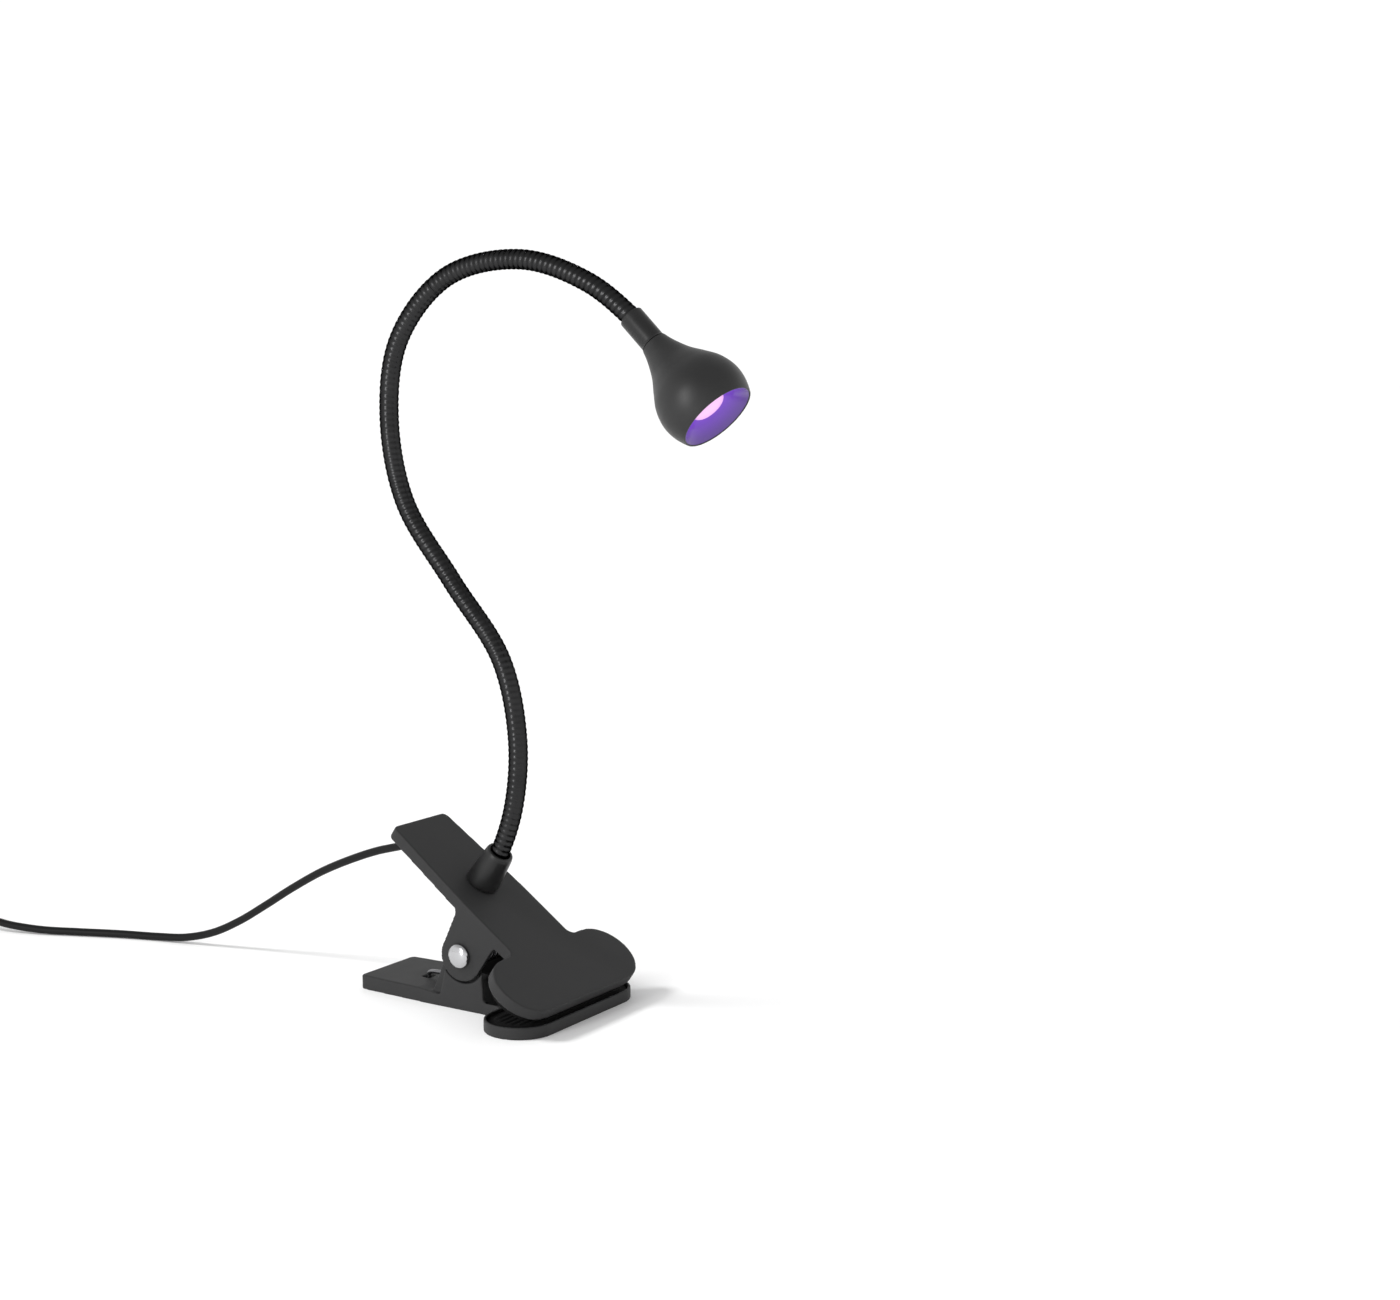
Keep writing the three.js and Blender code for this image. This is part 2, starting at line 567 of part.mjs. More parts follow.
function buildSwitch() {
  const s = SWITCH;
  const outline = roundedRect(s.length, s.width, 4);
  const inside = roundedRect(s.length - 3, s.width - 3, 2.8);
  const cordHole = rod(CORD + GAP, -s.length, s.length, 16).rotateY(Math.PI / 2).translate(0, 0, s.axisZ);
  const place = (geometry) => geometry.translate(s.x, s.y, 0);
  const base = combine([extrudeZ(outline, 0, s.base, 5)], [extrudeZ(inside, 1.4, s.base + 1, 5), cordHole]);
  addPiece(lamp, 'switch_base', place(base), blackPlastic);

  const cover = combine([extrudeZ(outline, s.base + GAP, s.height, 5)],
    [extrudeZ(inside, s.base - 1, s.height - 1.4, 5), cordHole, rod(BUTTON.radius + GAP, 6, s.height + 1)]);
  addPiece(lamp, 'switch_cover', place(cover), blackPlastic);

  const buttonTop = s.height + BUTTON.rise;
  const button = turned([[0, 8], [BUTTON.radius, 8], [BUTTON.radius, buttonTop - 0.6],
    [BUTTON.radius - 0.6, buttonTop], [0, buttonTop]]);
  addPiece(lamp, 'switch_button', place(button), blackPlastic);

  addPiece(lamp, 'switch_contact', place(box([-6, 6], [-2.5, 2.5], [1.7, 6.2])), springSteel);

  const end = s.length / 2 + GAP;
  const toRight = relief(3.4, 2.3, s.relief).rotateY(Math.PI / 2).translate(s.x + end, s.y, s.axisZ);
  const toLeft = relief(3.4, 2.3, s.relief).rotateY(-Math.PI / 2).translate(s.x - end, s.y, s.axisZ);
  addPiece(lamp, 'switch_relief_lamp', toRight, rubber);
  addPiece(lamp, 'switch_relief_usb', toLeft, rubber);
}

function buildPlug() {
  const p = PLUG;
  const x = USB_TAIL[0][0];
  const alongY = (geometry, y) => geometry.rotateX(-Math.PI / 2).translate(x, y, p.z);
  const strain = relief(2.3, 3.6, p.relief);
  addPiece(lamp, 'plug_relief', alongY(strain, p.y - 2), rubber);

  const bodyY = p.y + p.relief - 2 + GAP;
  const body = extrudeZ(roundedRect(2 * p.bodyHalf, p.bodyThick, 2), 0, p.body, 4);
  addPiece(lamp, 'plug_overmould', alongY(body, bodyY), blackPlastic);

  const shellY = bodyY + p.body + GAP;
  const outer = box([-p.shellHalf, p.shellHalf], [-p.shellThick / 2, p.shellThick / 2], [0, p.shell]);
  const t = p.sheet;
  const hollow = box([-p.shellHalf + t, p.shellHalf - t], [-p.shellThick / 2 + t, p.shellThick / 2 - t],
    [-1, p.shell + 1]);
  addPiece(lamp, 'plug_shell', alongY(combine([outer], [hollow]), shellY), chrome);

  const tongue = box([-p.shellHalf + t + GAP, p.shellHalf - t - GAP], [-0.3, p.shellThick / 2 - t - GAP],
    [0, p.shell - 1]);
  addPiece(lamp, 'plug_tongue', alongY(tongue, shellY), boardWhite);
}

buildLowerLever();
buildUpperLever();
buildHingePin();
buildSpring();
buildNeckMount();
buildLeadFeed();
buildGooseneck();
buildHead();
buildCord('lamp_cord', LAMP_CORD, 56);
buildSwitch();
buildCord('usb_cord', USB_CORD, 4);
buildCoil();
buildCord('usb_tail', USB_TAIL, 3);
buildPlug();

export default lamp;
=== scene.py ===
"""A clip-on gooseneck UV curing lamp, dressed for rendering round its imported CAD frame.

Shapes are drawn in millimetres in the part's own frame (+X from the clamp's handles to its jaws,
+Z up) and become metres when they turn into meshes.
"""
import json
import math

import bpy
import numpy as np
from mathutils import Matrix, Vector


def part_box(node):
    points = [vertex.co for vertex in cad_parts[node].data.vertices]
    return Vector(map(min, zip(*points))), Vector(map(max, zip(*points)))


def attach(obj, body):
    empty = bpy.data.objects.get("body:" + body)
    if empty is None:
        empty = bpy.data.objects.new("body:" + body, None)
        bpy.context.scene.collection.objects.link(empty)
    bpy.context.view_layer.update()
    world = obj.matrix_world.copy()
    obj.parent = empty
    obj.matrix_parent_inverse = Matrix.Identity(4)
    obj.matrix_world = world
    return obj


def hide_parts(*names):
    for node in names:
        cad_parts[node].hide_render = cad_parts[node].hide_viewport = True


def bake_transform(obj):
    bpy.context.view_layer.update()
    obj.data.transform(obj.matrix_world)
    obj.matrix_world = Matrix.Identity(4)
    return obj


MM = 0.001
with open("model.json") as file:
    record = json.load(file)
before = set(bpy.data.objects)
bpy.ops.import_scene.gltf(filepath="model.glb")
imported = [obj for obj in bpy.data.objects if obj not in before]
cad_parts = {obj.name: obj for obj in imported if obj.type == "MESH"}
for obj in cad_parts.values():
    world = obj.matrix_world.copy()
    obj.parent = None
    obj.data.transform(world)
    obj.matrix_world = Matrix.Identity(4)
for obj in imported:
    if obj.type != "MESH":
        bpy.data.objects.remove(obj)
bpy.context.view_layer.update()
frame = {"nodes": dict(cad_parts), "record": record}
NODES = frame["nodes"]
JOINTS = {joint["name"]: joint for joint in frame["record"]["behaviour"]["joints"]}


def frame_box(node):
    """Lowest and highest corner of a CAD node, in millimetres."""
    low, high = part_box(node)
    return np.array(low) / MM, np.array(high) / MM


# ---------------------------------------------------------------------------
# Driving dimensions (mm)
# ---------------------------------------------------------------------------

PIN_HEIGHT = JOINTS["clamp_open"]["pos_m"][2] / MM
TILT = math.radians(34.75)
GAP = 0.3                      # between two pieces that touch on the real lamp

LOWER = dict(end=-48.2, end_half=15.0, waist_half=16.4, waist_from=-12.0, bar_x=30.7, bar_r=12.9,
             bar_half=34.9, fillet=3.0, corner=2.0)
LOWER_THICK = 4.2
HANDLE_THICK = 5.2
RAMP = (-20.0, -9.0)
LOWER_SEAT = 2.2
LOWER_RIM = 1.1
CHEEK = dict(inner=12.4, outer=14.4, skirt=16.4, foot=-15.0, back=-10.0, front=9.7, lug=7.0)
SLIT = dict(width=1.1, crest_back=14.0, crest_front=14.8)
SLOT = dict(x=-26.0, y=-2.5, length=3.6, width=4.0, depth=2.6)
PIN = dict(radius=2.0, bore=2.3, head=4.4, rise=1.7)
SPRING = dict(radius=4.6, wire=0.8, turns=5.5, half=6.4)

UPPER = dict(end=-50.0, end_half=14.8, waist_half=16.8, waist_from=-10.0, bar_x=30.1, bar_r=12.6,
             bar_half=36.1, fillet=3.0, corner=2.6)
UPPER_TOP = 17.0
UPPER_UNDER = 12.6
UPPER_CEILING = 14.6
UPPER_WALL = 2.0
UPPER_PAD_FACE = 9.4
EAR = dict(inner=14.8, outer=16.8, back=-9.9, front=9.5, lug=8.9, centre=0.6)
COLLAR_U = -15.2

NECK_R = 3.5
NECK_PITCH = 2.1
NECK_RIB = 0.16
NECK_IN_COLLAR = 9.0
NECK_IN_SLEEVE = 5.5
NECK_XZ = [
    (-2.8, 42.6), (5.5, 55), (12, 73), (13.8, 97), (7, 124), (-14.5, 150.5), (-35.5, 178),
    (-42, 208), (-37, 235), (-15.5, 256.5), (17, 262.2), (45, 254.3), (63.2, 242.2), (71.9, 233.9),
]
HEAD_PITCH = math.radians(43.8)
HEAD_ORIGIN = (63.2, 0.0, 242.2)
BELL_OUTSIDE = [
    (4.7, 12.3), (5.3, 14.5), (6.3, 17.3), (8.4, 22), (11.4, 26.8), (14, 31.3), (15.3, 35.7),
    (15.5, 38.7), (15.1, 41.8), (14.1, 44.9), (13.6, 46.0),
]
BELL_INSIDE = [
    (13.0, 45.8), (13.0, 43.6), (13.6, 41.6), (14.0, 38.5), (13.8, 35.5), (12.5, 31.3), (9.9, 26.8),
    (6.9, 22),
]
CUP_INSIDE = [(6.9, 35.35), (7.4, 38.4), (9.6, 42.2), (12.1, 45.0), (13.0, 46.05)]
CUP_OUTSIDE = [(12.95, 45.3), (10.7, 42.0), (8.3, 38.6), (7.6, 35.35)]
LENS = dict(radius=6.2, foot=36.8, side=40.9, top=42.8)

CORD_R = 1.5
LAMP_CORD = [
    (-27, 0, 50.8), (-31.4, 0, 52.6), (-36, 0, 52.6), (-41.5, 0, 51), (-52, 0, 48), (-65, 0, 43.1),
    (-79.5, 0, 36.6), (-94.5, -0.3, 28.2), (-108, -0.8, 19.8), (-121, -1.6, 12), (-134, -3, 5.8),
    (-147, -5.2, 2.4), (-160, -8.4, 1.6), (-175, -13.4, 1.6), (-191, -20, 1.6), (-206, -26.4, 1.8),
    (-220, -31, 3), (-229, -32.6, 4.4), (-237.5, -33, 5.2),
]
USB_CORD_START = [(-294.6, -33, 5.2), (-299, -33, 4.5), (-304, -33, 3.6), (-311, -33, 2.9)]
USB_CORD_END = [(-338.6, -6, 8.0), (-338.6, -2, 6.2), (-338.5, 3, 4.7), (-338.5, 8.7, 4.4)]
FEED = [
    (-15.2, 8.3), (-15.5, 6.7), (-17, 4.9), (-20, 4.2), (-25, 5.6), (-30, 8.2), (-34.5, 9.7), (-38.85, 10),
]
COIL = dict(centre=(-318.0, -12.5), low=2.7, layer=3.0, lap=335, change=22, whole=2970, step=9)
COIL_LAPS = [                  # radius and layer of each lap
    (20.5, 0), (20.5, 1), (17.5, 1), (17.5, 0), (14.5, 0), (14.5, 1), (14.5, 2), (17.5, 2), (20.5, 2),
]
BOOT_WIDE = 3.4
BOOT_NARROW = 2.3
SWITCH_CORNER = 4


# ---------------------------------------------------------------------------
# Materials
# ---------------------------------------------------------------------------

def new_material(name):
    material = bpy.data.materials.new(name)
    material.use_nodes = True
    tree = material.node_tree
    return material, tree, tree.nodes["Principled BSDF"]


def noise(tree, scale, detail=2.0, roughness=0.5):
    coords = tree.nodes.new("ShaderNodeTexCoord")
    texture = tree.nodes.new("ShaderNodeTexNoise")
    texture.inputs["Scale"].default_value = scale
    texture.inputs["Detail"].default_value = detail
    texture.inputs["Roughness"].default_value = roughness
    tree.links.new(coords.outputs["Object"], texture.inputs["Vector"])
    return texture.outputs["Fac"]


def ramp(tree, source, stops):
    node = tree.nodes.new("ShaderNodeValToRGB")
    elements = node.color_ramp.elements
    while len(elements) < len(stops):
        elements.new(0.5)
    for element, (position, color) in zip(elements, stops):
        element.position = position
        element.color = (*color, 1.0) if len(color) == 3 else color
    tree.links.new(source, node.inputs["Fac"])
    return node.outputs["Color"]


def map_range(tree, source, low, high, to_low, to_high):
    node = tree.nodes.new("ShaderNodeMapRange")
    for key, value in zip(("From Min", "From Max", "To Min", "To Max"), (low, high, to_low, to_high)):
        node.inputs[key].default_value = value
    tree.links.new(source, node.inputs["Value"])
    return node.outputs["Result"]


def add_bump(tree, shader, layers):
    """Stacks bumps from (height, strength, distance in metres) onto a shader's normal."""
    normal = None
    for height, strength, distance in layers:
        bump = tree.nodes.new("ShaderNodeBump")
        bump.inputs["Strength"].default_value = strength
        bump.inputs["Distance"].default_value = distance
        tree.links.new(height, bump.inputs["Height"])
        if normal is not None:
            tree.links.new(normal, bump.inputs["Normal"])
        normal = bump.outputs["Normal"]
    tree.links.new(normal, shader.inputs["Normal"])


def grainy(name, dark, light, rough, metallic=0.0, grain=2600.0, grain_depth=0.00004, mottle=90.0,
           specular=0.5, edge=1.0):
    """A solid with a fine surface grain, slow colour variation and uneven gloss.

    A metal's edge is the grey level of its reflection at a grazing angle."""
    material, tree, shader = new_material(name)
    slow = noise(tree, mottle, 3.0)
    fine = noise(tree, grain, 3.0, 0.6)
    color = ramp(tree, slow, [(0.3, dark), (0.72, light)])
    tree.links.new(color, shader.inputs["Base Color"])
    tree.links.new(map_range(tree, slow, 0.3, 0.7, *rough), shader.inputs["Roughness"])
    shader.inputs["Metallic"].default_value = metallic
    shader.inputs["Specular IOR Level"].default_value = specular
    shader.inputs["Specular Tint"].default_value = (edge, edge, edge, 1.0)
    add_bump(tree, shader, [(fine, 0.35, grain_depth)])
    return material


# Limits of the painted shade on the clamp's floor between its cheeks, in metres: axis, where its edge
# starts and ends, and whether the floor lies beyond that edge.
SHADED_FLOOR_LIMITS = (("X", -0.012, -0.008, True), ("X", 0.015, 0.018, False), ("Z", 0.007, 0.009, False))


def combined(tree, operation, first, second):
    node = tree.nodes.new("ShaderNodeMath")
    node.operation = operation
    tree.links.new(first, node.inputs[0])
    tree.links.new(second, node.inputs[1])
    return node.outputs["Value"]


def paint_inside_shade(material, level, specular):
    """Paints shade into the inside of the clamp, darkening its colour and gloss: faces that look inward
    across its middle plane, and the floor between the cheeks."""
    tree = material.node_tree
    shader = tree.nodes["Principled BSDF"]
    coords = tree.nodes.new("ShaderNodeTexCoord")
    at, normal = tree.nodes.new("ShaderNodeSeparateXYZ"), tree.nodes.new("ShaderNodeSeparateXYZ")
    tree.links.new(coords.outputs["Object"], at.inputs["Vector"])
    tree.links.new(coords.outputs["Normal"], normal.inputs["Vector"])
    # Painted shade on faces that look inward across the middle plane, and on the floor between the cheeks.
    outward = combined(tree, "MULTIPLY", at.outputs["Y"], normal.outputs["Y"])
    shade = map_range(tree, outward, -0.007, -0.003, 1.0, 0.0)
    floor = map_range(tree, normal.outputs["Z"], 0.75, 0.9, 0.0, 1.0)
    for axis, low, high, beyond in SHADED_FLOOR_LIMITS:
        limit = map_range(tree, at.outputs[axis], low, high, 1.0 - beyond, 1.0 * beyond)
        floor = combined(tree, "MULTIPLY", floor, limit)
    shade = combined(tree, "MAXIMUM", shade, floor)
    scale = tree.nodes.new("ShaderNodeVectorMath")
    scale.operation = "SCALE"
    tree.links.new(shader.inputs["Base Color"].links[0].from_socket, scale.inputs[0])
    tree.links.new(map_range(tree, shade, 0.0, 1.0, 1.0, level), scale.inputs["Scale"])
    tree.links.new(scale.outputs["Vector"], shader.inputs["Base Color"])
    # The painted shade dims the gloss as well as the colour.
    gloss = map_range(tree, shade, 0.0, 1.0, specular, specular * level)
    tree.links.new(gloss, shader.inputs["Specular IOR Level"])
    return material


def grey(value):
    return (value, value, value * 1.02)


def polished(name, color, rough):
    material, tree, shader = new_material(name)
    shader.inputs["Base Color"].default_value = (*color, 1.0)
    shader.inputs["Metallic"].default_value = 1.0
    smears = noise(tree, 700.0, 4.0, 0.65)
    tree.links.new(map_range(tree, smears, 0.3, 0.7, *rough), shader.inputs["Roughness"])
    add_bump(tree, shader, [(smears, 0.08, 0.00002)])
    return material


def glowing(name, base, glow_stops, strength, axis_origin, axis, reach):
    """A surface that emits a glow changing with depth along an axis, given in metres. On the cup the glow
    is painted light from the LED.
    """
    material, tree, shader = new_material(name)
    shader.inputs["Base Color"].default_value = (*base, 1.0)
    shader.inputs["Roughness"].default_value = 0.25
    coords = tree.nodes.new("ShaderNodeTexCoord")
    offset = tree.nodes.new("ShaderNodeVectorMath")
    offset.operation = "SUBTRACT"
    offset.inputs[1].default_value = axis_origin
    tree.links.new(coords.outputs["Object"], offset.inputs[0])
    along = tree.nodes.new("ShaderNodeVectorMath")
    along.operation = "DOT_PRODUCT"
    along.inputs[1].default_value = axis
    tree.links.new(offset.outputs["Vector"], along.inputs[0])
    depth = map_range(tree, along.outputs["Value"], reach[0], reach[1], 0.0, 1.0)
    tree.links.new(ramp(tree, depth, glow_stops), shader.inputs["Emission Color"])
    shader.inputs["Emission Strength"].default_value = strength
    return material


PLASTIC = grainy("black_plastic", grey(0.019), grey(0.022), (0.58, 0.64), specular=0.3)
# Lever plastic with shade painted inside the clamp, between its jaws and cheeks.
LEVER_PLASTIC_PAINTED_SHADE = paint_inside_shade(grainy("lever_plastic_painted_shade", grey(0.019), grey(0.022), (0.58, 0.64)),
                              level=0.1, specular=0.3)
BELL_PLASTIC = grainy("bell_plastic", grey(0.008), grey(0.011), (0.42, 0.48), specular=0.45)
RUBBER = grainy("rubber", grey(0.004), grey(0.006), (0.85, 0.92), grain=1500.0, specular=0.12)
BLACK_METAL = grainy("black_metal", grey(0.006), grey(0.009), (0.34, 0.42), grain=1800.0,
                     grain_depth=0.00002, specular=0.4)
NECK_METAL = grainy("neck_steel", grey(0.030), grey(0.037), (0.25, 0.31), metallic=1.0, grain=900.0,
                    grain_depth=0.00002, edge=0.1)
JACKET = grainy("cord_jacket", grey(0.004), grey(0.006), (0.45, 0.52), grain=1600.0, specular=0.18)
CHROME = polished("chrome", (0.52, 0.52, 0.53), (0.14, 0.22))
STEEL = polished("spring_steel", (0.22, 0.22, 0.23), (0.30, 0.40))
ALUMINIUM = polished("heat_sink_metal", (0.62, 0.62, 0.63), (0.35, 0.50))
GOLD = polished("contact_gold", (0.85, 0.62, 0.28), (0.18, 0.28))
WHITE = grainy("white_board", (0.72, 0.72, 0.72), (0.80, 0.80, 0.80), (0.40, 0.50), mottle=200.0)
AXIS = Vector((math.cos(HEAD_PITCH), 0.0, -math.sin(HEAD_PITCH)))
HEAD_AT = Vector(HEAD_ORIGIN) * MM
# The cup is no lamp: its glow is painted light from the LED, brightest near the LED and darker towards the
# rim.
CUP_PAINTED_GLOW = glowing("violet_cup", (0.07, 0.028, 0.17),
                   [(0.0, (0.30, 0.11, 0.82)), (0.5, (0.15, 0.045, 0.50)), (0.85, (0.07, 0.034, 0.20)),
                    (1.0, (0.05, 0.035, 0.10))],
                   0.75, HEAD_AT, AXIS, (0.036, 0.0462))
LENS_GLOW = glowing("lens_resin", (0.36, 0.18, 0.34),
                    [(0.0, (0.42, 0.18, 0.78)), (0.6, (0.78, 0.40, 0.80)), (1.0, (0.86, 0.50, 0.84))],
                    0.75, HEAD_AT, AXIS, (0.037, 0.0422))


# ---------------------------------------------------------------------------
# Shapes: (vertices, faces) in mm
# ---------------------------------------------------------------------------

def arc(centre, radius, start, end, steps):
    """Points on an arc, angles in degrees, both ends included."""
    angles = np.radians(np.linspace(start, end, steps + 1))
    return [(centre[0] + radius * math.cos(a), centre[1] + radius * math.sin(a)) for a in angles]


def lever_outline(d, inset=0.0, steps=16):
    """A lever from above, counterclockwise: a straight handle into a cross bar with round ends."""
    end = d["end"] + inset
    half = d["end_half"] - inset
    waist = d["waist_half"] - inset
    r = d["bar_r"] - inset
    run = d["bar_half"] - d["bar_r"]
    fillet = d["fillet"] + inset
    corner = max(d["corner"] - inset, 0.5)
    back = d["bar_x"] - r
    near = arc((end + corner, corner - half), corner, 180, 270, 6)
    near += [(d["waist_from"], -waist)]
    near += arc((back - fillet, -waist - fillet), fillet, 90, 0, 6)
    near += arc((d["bar_x"], -run), r, 180, 360, 2 * steps)
    far = [(x, -y) for x, y in reversed(near)]
    return near + far


def bar_outline(centre_x, radius, half, inset=0.0, steps=16):
    """A cross bar with round ends from above, counterclockwise."""
    run = half - radius
    r = radius - inset
    return arc((centre_x, run), r, 0, 180, 2 * steps) + arc((centre_x, -run), r, 180, 360, 2 * steps)


def rounded_rect(width, height, radius, steps=6):
    points = []
    for i, (sx, sy) in enumerate([(1, 1), (-1, 1), (-1, -1), (1, -1)]):
        centre = (sx * (width / 2 - radius), sy * (height / 2 - radius))
        points += arc(centre, radius, 90 * i, 90 * (i + 1), steps)
    return points


def prism(outline, low, high):
    """An outline in X and Y, counterclockwise, given height along Z."""
    n = len(outline)
    verts = [(x, y, low) for x, y in outline] + [(x, y, high) for x, y in outline]
    faces = [tuple(reversed(range(n))), tuple(range(n, 2 * n))]
    faces += [(i, (i + 1) % n, n + (i + 1) % n, n + i) for i in range(n)]
    return verts, faces


def prism_y(outline, low, high):
    """An outline in X and Z, counterclockwise seen from -Y, given thickness along Y."""
    verts, faces = prism(outline, -high, -low)
    return [(x, -z, y) for x, y, z in verts], faces


def wall(outer, inner, low, high):
    """A closed frame between two outlines with the same number of points."""
    n = len(outer)
    verts = [(x, y, z) for z in (low, high) for loop in (outer, inner) for x, y in loop]
    faces = []
    for i in range(n):
        j = (i + 1) % n
        faces.append((i, j, 2 * n + j, 2 * n + i))
        faces.append((n + j, n + i, 3 * n + i, 3 * n + j))
        faces.append((j, i, n + i, n + j))
        faces.append((2 * n + i, 2 * n + j, 3 * n + j, 3 * n + i))
    return verts, faces


def cuboid(x, y, z):
    return prism([(x[0], y[0]), (x[1], y[0]), (x[1], y[1]), (x[0], y[1])], *z)


def lathe(profile, sides=64):
    """Turns (radius, height) points about Z. The profile ends on the axis or closes on itself."""
    closed = profile[0] == profile[-1]
    rows = profile[:-1] if closed else profile
    verts = []
    index = []
    for radius, height in rows:
        if radius < 1e-9:
            index.append([len(verts)] * sides)
            verts.append((0.0, 0.0, height))
            continue
        index.append(list(range(len(verts), len(verts) + sides)))
        for k in range(sides):
            angle = 2 * math.pi * k / sides
            verts.append((radius * math.cos(angle), radius * math.sin(angle), height))
    faces = []
    pairs = list(zip(index, index[1:])) + ([(index[-1], index[0])] if closed else [])
    for lower, upper in pairs:
        for k in range(sides):
            j = (k + 1) % sides
            loop = []
            for v in (lower[k], lower[j], upper[j], upper[k]):
                if v not in loop:
                    loop.append(v)
            faces.append(tuple(loop))
    return verts, faces


def rod(radius, low, high, sides=48):
    return lathe([(0, low), (radius, low), (radius, high), (0, high)], sides)


def moved(shape, matrix):
    verts, faces = shape
    return [tuple(matrix @ Vector(v)) for v in verts], faces


def shifted(shape, x=0.0, y=0.0, z=0.0):
    return moved(shape, Matrix.Translation((x, y, z)))


def joined(*shapes):
    verts, faces = [], []
    for more_verts, more_faces in shapes:
        base = len(verts)
        verts += more_verts
        faces += [tuple(base + i for i in face) for face in more_faces]
    return verts, faces


TO_Y = Matrix.Rotation(-math.pi / 2, 4, "X")       # turns +Z into +Y
TO_MINUS_Y = Matrix.Rotation(math.pi / 2, 4, "X")  # turns +Z into -Y
UPPER_FRAME = Matrix.Translation((0, 0, PIN_HEIGHT)) @ Matrix.Rotation(TILT, 4, "Y")
HEAD_FRAME = Matrix.Translation(HEAD_ORIGIN) @ Matrix.Rotation(math.pi / 2 + HEAD_PITCH, 4, "Y")


def softened(profile, radius, steps=4):
    """Rounds the corners of an open or closed profile of straight lines."""
    closed = profile[0] == profile[-1]
    points = [np.array(p, float) for p in (profile[:-1] if closed else profile)]
    n = len(points)
    result = []
    for i, p in enumerate(points):
        if not closed and i in (0, n - 1):
            result.append(tuple(p))
            continue
        before, after = points[i - 1] - p, points[(i + 1) % n] - p
        cut = min(radius, 0.45 * np.linalg.norm(before), 0.45 * np.linalg.norm(after))
        a = p + before / np.linalg.norm(before) * cut
        b = p + after / np.linalg.norm(after) * cut
        for k in range(steps + 1):
            t = k / steps
            result.append(tuple((1 - t) ** 2 * a + 2 * t * (1 - t) * p + t ** 2 * b))
    return result + [result[0]] if closed else result


# ---------------------------------------------------------------------------
# Objects
# ---------------------------------------------------------------------------

def make(name, shape, material, smooth=True):
    """A new object from a shape in millimetres."""
    verts, faces = shape
    mesh = bpy.data.meshes.new(name)
    mesh.from_pydata([(x * MM, y * MM, z * MM) for x, y, z in verts], [], faces)
    mesh.validate()
    mesh.update()
    obj = bpy.data.objects.new(name, mesh)
    bpy.context.scene.collection.objects.link(obj)
    mesh.materials.append(material)
    if smooth:
        mesh.shade_smooth()
    return obj


def bake_modifiers(obj):
    """Replaces the mesh by what its modifiers make of it."""
    graph = bpy.context.evaluated_depsgraph_get()
    mesh = bpy.data.meshes.new_from_object(obj.evaluated_get(graph))
    old = obj.data
    obj.modifiers.clear()
    obj.data = mesh
    bpy.data.meshes.remove(old)
    return obj


def cut_away(obj, shapes):
    for shape in shapes:
        cutter = make("cutter", shape, obj.data.materials[0])
        boolean = obj.modifiers.new("cut", "BOOLEAN")
        boolean.operation = "DIFFERENCE"
        boolean.object = cutter
        bake_modifiers(obj)
        bpy.data.objects.remove(cutter)
    return obj


def moulded(name, shapes, material, voxel=0.35, rounds=5, cuts=(), place=None):
    """One moulded solid: overlapping shapes fused, cut, and softened along every edge."""
    obj = make(name, joined(*shapes), material)
    remesh = obj.modifiers.new("fuse", "REMESH")
    remesh.mode = "VOXEL"
    remesh.voxel_size = voxel * MM
    bake_modifiers(obj)
    if cuts:
        cut_away(obj, cuts)
        remesh = obj.modifiers.new("fuse", "REMESH")
        remesh.mode = "VOXEL"
        remesh.voxel_size = voxel * MM
    soften = obj.modifiers.new("soften", "SMOOTH")
    soften.factor = 0.5
    soften.iterations = rounds
    bake_modifiers(obj)
    if place is not None:
        scaled = place.copy()
        scaled.translation *= MM
        obj.data.transform(scaled)
    obj.data.materials.clear()
    obj.data.materials.append(material)
    obj.data.shade_smooth()
    return obj


def mesh_shape(obj):
    """Takes an object apart again into the vertices (mm) and faces of its mesh."""
    verts = [tuple(np.array(v.co) / MM) for v in obj.data.vertices]
    faces = [tuple(polygon.vertices) for polygon in obj.data.polygons]
    bpy.data.objects.remove(obj)
    return verts, faces


def crisp(obj, angle=35.0):
    """Keeps edges sharper than an angle crisp in a smoothly shaded mesh."""
    obj.data.set_sharp_from_angle(angle=math.radians(angle))
    return obj


def smoothly(obj):
    obj.data.shade_smooth()
    return obj


def finish_piece(obj, body, nodes):
    """Lets a piece ride on its body and take the place of CAD nodes."""
    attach(obj, body)
    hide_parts(*nodes)
    return obj


def dress_node(node, material, bevel=0.0):
    """A CAD node that stays, with its own finish and a small edge radius."""
    obj = NODES[node]
    obj.data.materials.clear()
    obj.data.materials.append(material)
    if bevel:
        weld = obj.modifiers.new("weld", "WELD")
        weld.merge_threshold = 0.00001
        edge = obj.modifiers.new("edge", "BEVEL")
        edge.width = bevel * MM
        edge.segments = 2
        edge.limit_method = "ANGLE"
        edge.angle_limit = math.radians(40)
        edge.harden_normals = False
    return obj


# ---------------------------------------------------------------------------
# Curves and tubes
# ---------------------------------------------------------------------------

